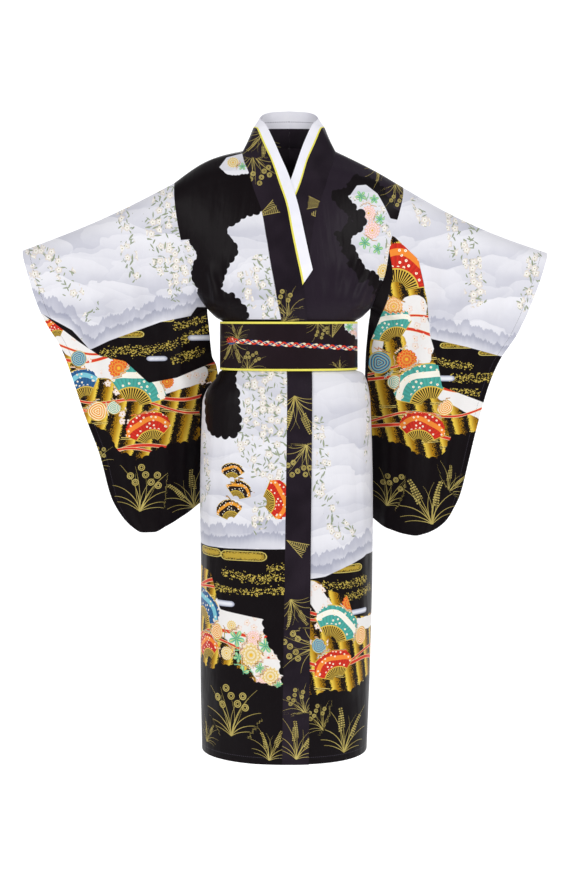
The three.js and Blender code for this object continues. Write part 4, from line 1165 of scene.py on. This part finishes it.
def build_figure(local, kind):
    """A motif: 0 chrysanthemum, 1 folding fan, 2 ringed ball, 3 leaves; the fraction is its palette.

    A flower has rings of petals by a wave of the angle, a fan has pleats by angle and bands by distance from
    its pivot, a ball has waved rings, and leaves are a wave of the angle."""
    x, y, here = split(local)
    sort, hue = kind.do("FLOOR"), kind.fract()
    main, second = (stepped(hue, [pair[k] for pair in PALETTES.values()]) for k in (0, 1))
    line = "d9b64a"
    r, angle = distance(x, y), x.do("ARCTAN2", y)

    wave = abs((angle * 7.0).do("COSINE"))
    depth = r * 3.3 - wave * 0.30
    turned = abs((angle * 7.0 + depth.do("FLOOR") * 1.57).do("SINE"))
    flower = paint(depth.fract(), second, main)
    flower = layered(flower, ((turned < 0.20) | (depth.fract() < 0.12), line), (r < 0.15, "e9b93a"))

    pivot = y + 0.8
    reach, swing = distance(x, pivot) / 1.75, x.do("ARCTAN2", pivot)
    pleat = (swing * 7.2).fract()
    swell = reach + (swing * 5.0).do("SINE") * 0.035
    far, rand, _, _ = cells(combine(x, y), 5.5)
    bloom = (rand[0] < 0.5) * (reach > 0.5)
    ribs = paint(abs(pleat - 0.5) < 0.22, "241310", line)
    fan = layered(
        main, (pleat * 0.35, "2a1512"), ((swell > 0.70) * (swell < 0.84), second),
        ((far < 0.27) * bloom, "fbf3e2"), ((far < 0.10) * bloom, line), (reach < 0.46, ribs),
        ((abs(reach - 0.46) < 0.015) | (reach > 0.975) | (abs(swing) > 0.965), line))

    ring = (r * 4.5 + (angle * 3.0).do("SINE") * 0.25).fract()
    ball = layered(main, (ring > 0.5, second), ((abs(ring - 0.5) < 0.08) | (r > 0.90), line))

    fingers = abs((angle * 2.5).do("COSINE"))
    leaves = layered("2f9a7c", (r * 1.1, "8fd0a0"), ((fingers > 0.985) * (r < 0.8), "e6dc8a"))

    color = layered(flower, (sort > 0.5, fan), (sort > 1.5, ball), (sort > 2.5, leaves))
    outlines = [
        r < wave ** 0.6 * 0.15 + 0.84, (reach > 0.20) * (reach < 1.0) * (abs(swing) < 1.0), r < 0.97,
        r < fingers ** 0.8 * 0.72 + 0.22,
    ]
    mask = any_of(shape * (sort > k - 0.5) * (sort < k + 0.5) for k, shape in enumerate(outlines))
    return [color, mask * (here > HOLDS)]


VECTOR, VALUE, COLOR = "Vector", "Float", "Color"
WEAVE = group("satin_weave", {"Cloth": VECTOR}, {"Height": VALUE, "Tone": VALUE}, build_weave)
GOLD_SPRAY = group("gold_spray", {"Frame": VECTOR, "Kind": VALUE}, {"Mask": VALUE}, build_gold_spray)
DUST = group("gold_dust", {"Cloth": VECTOR, "Density": VALUE}, {"Mask": VALUE}, build_dust)
BLOSSOMS = group("blossoms", {"Cloth": VECTOR, "Density": VALUE},
                 {"Petal": VALUE, "Shade": VALUE, "Heart": VALUE, "Leaf": VALUE}, build_blossoms)
CLOUDS = group("cloud_banks", {"Cloth": VECTOR}, {"Tone": VALUE}, build_clouds)
STALKS = group("bamboo_stalks", {"Cloth": VECTOR}, {"Color": COLOR}, build_stalks)
FIGURE = group("figure", {"Frame": VECTOR, "Kind": VALUE}, {"Color": COLOR, "Mask": VALUE}, build_figure)


def gold_sprays(cloth):
    """The gold sprays of the mesh's own field, as a layer: their mask and their ink."""
    mask = use(GOLD_SPRAY, vector_field(cloth, "gold"), field(cloth, "gold_kind"))
    return mask, paint(noise(cloth, 0.05, 1.0), "94803a", "cfbf72")


def figures(cloth, key):
    """The motifs of one of the mesh's fields, as a layer."""
    color, mask = use(FIGURE, vector_field(cloth, key), field(cloth, key + "_kind"))
    return mask, color


RIBBON_PITCH = 104.0
HEM_STITCHES = 14.0      # distance of the stitches from the hem, then their pitch
STITCH = 4.2
FADED = 0.35


def printed(cloth):
    """Black satin printed with cloud banks, blossoms, gold sprays and coloured gardens of fans and flowers.

    Each area's field is a distance to its edge, so a soft step at 0 draws it. Misty treetops stand where the
    height above the cloud's foot is less than a noise of the distance along it."""
    cloud, above, mist, gilt = (field(cloth, key) for key in ("cloud", "above", "mist", "gilt"))
    x, y, _ = split(cloth)

    far = noise(combine(x * 0.03, 3.0), 1.0, 6.0, 0.70) * 86.0 + 6.0
    near = noise(combine(x * 0.05, 9.0), 1.0, 6.0, 0.72) * 66.0 - 8.0
    white = layered(
        paint(use(CLOUDS, cloth), "aeafbe", "e8e7ec"),
        ((far - above).ease(0.0, 2.0) * (above / far).ease(0.0, 1.0) * 0.65, "9fa1b4"),
        ((near - above).ease(0.0, 2.0) * (above / near).ease(-0.2, 1.0) * 0.65, "8c8fa4"))

    border = (noise(cloth, 0.06, 1.0) * 34.0 + cloud + 4.0).ease(1.5, 0.0)
    _, grain, _, _ = cells(cloth, 0.9)
    bar = paint((gilt * 0.09 - grain[0] * 0.9).ease(-0.3, 0.1), "1c150c", "b99c3a")
    # On the wearer's left chest, away from the cloud's edges, the black ground is lifted to plum 241c26. This
    # is partly the print's lighter plum black and partly painted satin sheen on the side where the key light
    # falls.
    ground = layered(
        "0e080b", (field(cloth, "plum_and_painted_sheen") * border, "241c26"),
        (use(DUST, cloth, field(cloth, "dust")), "bfa94e"), gold_sprays(cloth),
        (mist.ease(-0.4, 0.4), paint(mist.ease(0.0, 7.0), "a3a7ba", "e4e5ec")),
        (gilt.ease(-0.4, 0.4), bar), ((abs(gilt) - 0.9).ease(0.5, 0.0), "cdbb66"))

    petal, shade, heart, leaf = use(BLOSSOMS, cloth, field(cloth, "sprays"))
    mask, tone = figures(cloth, "free")
    inside = cloud.ease(0.0, 0.8)
    color = layered(
        ground, (cloud.ease(-0.5, 0.5), white),
        (leaf * inside, paint(noise(cloth, 0.03, 1.0), "7e8c78", "a4aa8c")),
        (petal * inside, paint(shade.ease(0.3, 1.0), "f1eee8", "d8cdc2")),
        (heart * inside, "b3ab82"), (mask * inside, tone))

    pale = (field(cloth, "pale") - noise(cloth, 0.03, 2.0)).ease(-0.04, 0.04)
    bed = layered(use(STALKS, cloth), (pale, "e9e6e4"))
    for rise, slope, width in ((0.0, 0.10, 3.4), (52.0, -0.12, 2.4)):
        level = y + x * slope + (x * 0.03).do("SINE") * 9.0 + rise
        off = abs((level / RIBBON_PITCH).fract() * RIBBON_PITCH - RIBBON_PITCH / 2)
        bed = layered(bed, (off < width, "d23b28"), (abs(off - width) < 0.5, "e8c79a"))
    bed = layered(bed, (petal, paint(shade, "f6f3ec", "e6cfc4")), (heart, "cf9338"),
                  figures(cloth, "figures"))
    thread = (abs(field(cloth, "hem") - HEM_STITCHES) < 0.35) * (((x + y) / STITCH).fract() < 0.6)
    return layered(color, (field(cloth, "garden").ease(-0.5, 0.5), bed), (thread, "4a4550"))


def reverse_of_print(cloth):
    """The print as it shows on the inside of the cloth, darker and fainter."""
    return paint(FADED, printed(cloth), "463a44")


def black(cloth):
    """Black satin with slow patches of painted purple sheen, and the mesh's gold sprays where it has them."""
    # slow noise patches lift 19121a to 261e27: painted purple sheen on the black band
    shade = noise(cloth, 0.012, 2.0).ease(0.3, 0.7)
    return layered(paint(shade, "19121a", "261e27"), gold_sprays(cloth))


def white(cloth):
    """White satin with a faint cool shade and a row of stitches a third of the way across the strip."""
    off, run, _ = split(vector_field(cloth, "strip"))
    thread = (abs(off - 11.0) < 0.6) * ((run / 4.6).fract() < 0.62) * (run < 70.0)
    return layered(paint(noise(cloth, 0.03, 2.0), "e6e5ef", "f6f5fa"), (thread, "8d8796"))


def yellow(cloth):
    """A corded edge: slanting cord ridges, by a sine of the place, with painted highlights along the ridges
    and painted shade in the valleys.
    """
    x, y, _ = split(cloth)
    return paint(((x + y) * 2.4).do("SINE") * 0.5 + 0.5, "d9cc3c", "f6f07a")


CORD_START = 121.0       # how far to the wearer's right the printed cord begins, at its knot
CORD_RED = "d03a2a"
STRANDS = [(0.0, 1.9, "e9e0c4"), (2.1, 1.9, "27346c"), (4.2, 1.9, CORD_RED), (1.05, 0.6, "f0dcb0")]


def belt(cloth):
    """Black belt satin: a printed cord of strands, sines out of step, with gold grass and a white patch."""
    _, z, x = split(cloth)
    front = field(cloth, "front") > 0.5
    off = z + 404.0 + x * 0.077 - (x * 0.016).do("SINE") * 1.5
    knot = distance((x + CORD_START) * 0.8, z + 397.0)
    color = paint(noise(cloth, 0.02, 2.0), "1a1014", "22171d")
    color = layered(color, gold_sprays(cloth))
    for phase, width, ink in STRANDS:
        strand = abs(off - (x * 0.25 + phase).do("SINE") * 3.2) < width
        color = paint(strand * (x > -CORD_START) * front, color, ink)
    patch = field(cloth, "cloud")
    mask, tone = figures(cloth, "free")
    return layered(
        color, ((knot < 8.5) * front * ((x * 1.3 + z * 0.7).do("SINE") > -0.2), CORD_RED),
        ((knot < 8.0) * front * (z < -401.0), "2f5f8c"),
        (patch.ease(-0.5, 0.5), "dedde6"), (patch.ease(0.5, 1.0) * mask, tone))


def satin(name, color_of, sheen=0.012, roughness=0.37, crumple=1.0):
    """A satin material coloured by color_of, with thread floats and crumples in its bump and roughness."""
    material = bpy.data.materials.new(name)
    material.use_nodes = True
    tree = material.node_tree
    cloth = make(tree, "Attribute", (), attribute_name="cloth")[1]
    height, tone = use(WEAVE, cloth)
    bump = make(tree, "Bump", {"Strength": 0.55, "Distance": MM * crumple, "Height": height})[0]
    for key, value in {
        "Normal": bump, "Roughness": tone * 0.16 + (roughness - 0.08), "Specular IOR Level": 0.08,
        "Sheen Weight": sheen, "Sheen Roughness": 0.5, "Sheen Tint": (0.80, 0.74, 0.95, 1),
        "Base Color": color_of(cloth),
    }.items():
        join(value, tree.nodes["Principled BSDF"].inputs[key])
    return material


# --- camera and light --------------------------------------------------------------------------------

EYE = (-0.0043, -3.0, -0.343)
VIEW_HEIGHT = 875 * 2.14 * MM       # height of the view at the origin's depth: pixels by their size
SHIFT = -0.14                       # the level view is moved down, so that upright edges stay upright
SENSOR = 36                         # mm
FLOOR = -2.4                        # low enough for the robe's shadow to fall below the view
BEND = 1.5                          # radius of the sweep's bend


def place_camera():
    """A level camera in front, at the height of the belt's top."""
    camera = bpy.data.objects.new("camera", bpy.data.cameras.new("camera"))
    bpy.context.scene.collection.objects.link(camera)
    bpy.context.scene.camera = camera
    camera.location = EYE
    camera.rotation_euler = (math.pi / 2, 0, 0)
    camera.data.sensor_fit = "VERTICAL"
    camera.data.sensor_height = SENSOR
    camera.data.lens = SENSOR * -EYE[1] / VIEW_HEIGHT
    camera.data.shift_y = SHIFT
    camera.data.clip_end = 40


def area_light(name, place, target, size, power, color=(1, 1, 1)):
    """A soft square light that faces the target."""
    light = bpy.data.lights.new(name, "AREA")
    light.shape, light.size, light.energy, light.color = "SQUARE", size, power, color
    lamp = bpy.data.objects.new(name, light)
    lamp.location = place
    x, y, z = (to - start for start, to in zip(place, target))
    tilt = math.acos(-z / math.sqrt(x * x + y * y + z * z))
    lamp.rotation_euler = (tilt, 0, math.atan2(y, x) - math.pi / 2)
    bpy.context.scene.collection.objects.link(lamp)


def studio():
    """A pale floor that sweeps up into a backdrop, two large soft lights, one behind and a bright room."""
    across = np.linspace(-9, 9, 3)
    turn = np.linspace(0, math.pi / 2, 16)
    bend = [(4.0 + BEND * math.sin(t), BEND - BEND * math.cos(t)) for t in turn]
    profile = [(-7.0, 0.0), *bend, (5.5, 9.0)]
    points = np.array([(x, y, z + FLOOR) for y, z in profile for x in across])
    at = np.arange(len(points)).reshape(len(profile), 3)
    faces = np.stack([at[:-1, :-1], at[:-1, 1:], at[1:, 1:], at[1:, :-1]], -1).reshape(-1, 4)
    mesh = bpy.data.meshes.new("sweep")
    mesh.from_pydata(points.tolist(), [], faces.tolist())
    mesh.polygons.foreach_set("use_smooth", np.ones(len(faces), bool))
    sweep = bpy.data.objects.new("sweep", mesh)
    bpy.context.scene.collection.objects.link(sweep)
    paper = bpy.data.materials.new("backdrop_paper")
    paper.use_nodes = True
    shader = paper.node_tree.nodes["Principled BSDF"]
    shader.inputs["Base Color"].default_value = (0.95, 0.95, 0.95, 1)
    shader.inputs["Roughness"].default_value = 0.95
    shader.inputs["Emission Color"].default_value = (1, 1, 1, 1)
    shader.inputs["Emission Strength"].default_value = 0.38
    mesh.materials.append(paper)
    world = bpy.data.worlds.new("room")
    bpy.context.scene.world = world
    world.use_nodes = True
    air = world.node_tree.nodes["Background"]
    air.inputs["Color"].default_value = (0.97, 0.98, 1.0, 1)
    air.inputs["Strength"].default_value = 0.50
    area_light("key", (2.7, -3.3, 1.5), (0, 0, -0.6), 2.2, 70)
    area_light("fill", (-2.9, -3.0, 0.9), (0, 0, -0.6), 2.2, 52)
    area_light("back", (0.0, 3.2, 2.2), (0, 0, -0.5), 2.0, 30)
    bpy.context.scene.view_settings.view_transform = "Standard"


# --- assembly ----------------------------------------------------------------------------------------

# shifts of the cloth's own coordinates, and a place that no gold spray reaches
LEFT_PANEL_SHIFT = 600
SLEEVE_SHIFT = 1300
LEFT_SLEEVE_SHIFT = 700
COLLAR_SHIFT = 2700
NOWHERE = 999


def cloth_distance(grid):
    """Level distance over the cloth from the centre: the inner edge's x and then the steps out from it."""
    step = np.hypot(np.diff(grid[..., 0], axis=1), np.diff(grid[..., 1], axis=1))
    first = np.abs(grid[:, :1, 0])
    return np.concatenate([first, first + np.cumsum(step, axis=1)], axis=1)


def round_the_side(p, q, face):
    """Distance from the centre front: the back's runs on past the side seam, not from the centre back."""
    rows = face[:, 0] < 0
    order = np.argsort(q[rows, -1])
    front = np.interp(q[:, -1], q[rows, -1][order], p[rows, -1][order])
    return np.where(face < 0, p, front[:, None] + p[:, -1:] - p)


def on_cloth(p, q, shift):
    """The cloth's own coordinates, shifted so that no two pieces show the same noise."""
    return np.stack([p + shift, q, 0 * p], -1)


def in_front(grid, groups):
    """Gold sprays placed by x and height."""
    local, kind = motifs(grid[..., 0], grid[..., 2], placed(groups, GOLD_KINDS.index))
    return {"cloth": on_cloth(grid[..., 0], grid[..., 2], COLLAR_SHIFT), "gold": local, "gold_kind": kind}


place_camera()
studio()
PRINT = satin("printed_satin", printed)
REVERSE = satin("printed_satin_reverse", reverse_of_print)
BLACK = satin("black_satin", black)
WHITE = satin("white_satin", white, sheen=0.1, roughness=0.5, crumple=0.5)
YELLOW = satin("yellow_edge", yellow, sheen=0.1, roughness=0.55, crumple=0.4)
BELT = satin("belt_satin", belt, crumple=0.4)

# parts of the collar's width: the gap beside the piping and the piping's inner edge
GAP = SEAM_GAP / STRIP
PIPING_END = 1 + PIPING / STRIP
# where the rows of the band lie along the collar, then those of the strip and its piping
LONG = np.concatenate([np.arange(-CENTRE_BACK, 540, 3.0), np.arange(540, -HEM, 5.0), [-HEM]])
SHORT = np.append(np.arange(-CENTRE_BACK, 262, 3.0), 276)
# name, node, first and last part of the width, rows, columns, mitred foot, materials, slot, flat size
COLLAR_PIECES = [
    ("band", "collar", (-0.012, 1), LONG, 14, False, [BLACK], "satin_black", (0.053, 1.39, None)),
    ("collar_edge", "collar_piping", (1 + GAP, PIPING_END), SHORT, 4, True, [YELLOW, WHITE], "yellow_edge",
     (0.01, 0.41, 0.0026)),
    ("white_strip", "under_collar", (PIPING_END + GAP, 2), SHORT, 9, True, [WHITE], "white_satin",
     (0.024, 0.40, None)),
]

for number, side in enumerate(("right", "left")):
    sign = OUTWARD[side]
    grid, normals, face = body_panel(side)
    p, q = cloth_distance(grid), grid[..., 2]
    flat = lambda x, z: laid_flat(side, x, z)
    chest = print_fields(p, q, PRINTS["chest_" + side], flat, 10 + number)
    if side == "left":  # the cloud beside the centre back seam is on both sides of it
        own, other = PRINTS["chest_left"], PRINTS["chest_right"]
        shared = {key: own[key] + other[key][:1] for key in ("cloud", "sprays")}
        back = print_fields(p, q, {**own, **shared}, flat, 14)
        chest = joined(back, chest, face > 0)
    p = np.where(q > BELT_MIDDLE, p, round_the_side(p, q, face))
    skirt = print_fields(p, q, PRINTS["skirt_" + side], flat, 20 + number)
    fields = joined(chest, skirt, q > BELT_MIDDLE)
    fields["cloth"] = on_cloth(p, q, LEFT_PANEL_SHIFT * number)
    fields["hem"] = q - HEM
    # where the plum black with painted satin sheen lies: the left panel above the belt's middle
    fields["plum_and_painted_sheen"] = 1.0 * (q > BELT_MIDDLE) * (side == "left")
    piece = cloth_mesh(f"panel_{side}", grid, normals, CLOTH, -sign, fields, [PRINT, REVERSE])
    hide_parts(f"body_{side}")

    grid, normals = sleeve_surface(side)
    p, q = np.abs(grid[..., 0]), grid[..., 2]
    fields = print_fields(p, q, PRINTS["sleeve_" + side], lambda x, z: x, 30 + number)
    fields["cloth"] = on_cloth(p, q, SLEEVE_SHIFT + LEFT_SLEEVE_SHIFT * number)
    fields["hem"] = p[:, -1:] - p
    fields["plum_and_painted_sheen"] = 0 * p
    piece = cloth_mesh(f"wide_sleeve_{side}", grid, normals, CLOTH, -sign, fields, [PRINT, REVERSE])
    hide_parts(f"sleeve_{side}")

    for name, node, ends, rows, columns, foot, cloths, slot, flat in COLLAR_PIECES:
        grid, normals, along = collar_strip(side, *ends, rows, columns, foot)
        fields = in_front(grid, BAND_GOLD if side == "right" else UNDER_BAND_GOLD)
        part = np.linspace(*ends, columns)[None, :]
        fields["strip"] = np.stack([(part - 1) * STRIP + 0 * along, along + CENTRE_BACK, 0 * along], -1)
        piece = cloth_mesh(f"{name}_{side}", grid, normals, CLOTH, -sign, fields, cloths)
        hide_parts(f"{node}_{side}")

BELT_CLEAR = OVERLAP + 0.8      # between the belt's back and the worn body's own oval
EDGE = PIPING + SEAM_GAP
BELT_HEIGHTS = np.linspace(BELT_TOP - EDGE, BELT_BOTTOM + EDGE, 30)
TOP_HEIGHTS = np.linspace(BELT_TOP, BELT_TOP - PIPING, 4)
BOTTOM_HEIGHTS = np.linspace(BELT_BOTTOM + PIPING, BELT_BOTTOM, 4)
# name, node, heights of the columns, material, slot, flat size
BELT_PIECES = [
    ("wide_belt", "obi", BELT_HEIGHTS, BELT, "belt_satin", (0.093, 0.80, None)),
    ("belt_edge_top", "obi_piping_top", TOP_HEIGHTS, YELLOW, "yellow_edge", (0.01, 0.80, 0.0052)),
    ("belt_edge_bottom", "obi_piping_bottom", BOTTOM_HEIGHTS, YELLOW, "yellow_edge", (0.01, 0.80, 0.0052)),
]
for name, node, heights, material, slot, flat in BELT_PIECES:
    grid, normals = belt_ring(heights, BELT_CLEAR, BELT_CLOTH)
    step = np.linalg.norm(np.diff(grid[:, 0], axis=0), axis=-1)
    round_belt = np.concatenate([[0], np.cumsum(step)])
    p = (round_belt - round_belt[-1] / 2)[:, None] + 0 * grid[..., 2]
    x, q = grid[..., 0], grid[..., 2]
    front = grid[..., 1] < 0
    local, kind = motifs(np.where(front, x, NOWHERE), q, placed(BELT_GOLD, GOLD_KINDS.index))
    leaves, leaves_kind = motifs(x, q, placed(BELT_FIGURES, figure_kind))
    patch = bitten(polygon(x, q, BELT_PATCH), x, q, BELT_PATCH, (3, 6), 6, 5)
    fields = {
        "cloth": np.stack([p, q, x], -1), "gold": local, "gold_kind": kind, "front": 1.0 * front,
        "cloud": np.where(front, patch, -9), "free": leaves, "free_kind": leaves_kind,
    }
    piece = cloth_mesh(name, grid, normals, BELT_CLOTH, -1, fields, [material])
    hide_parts(node)
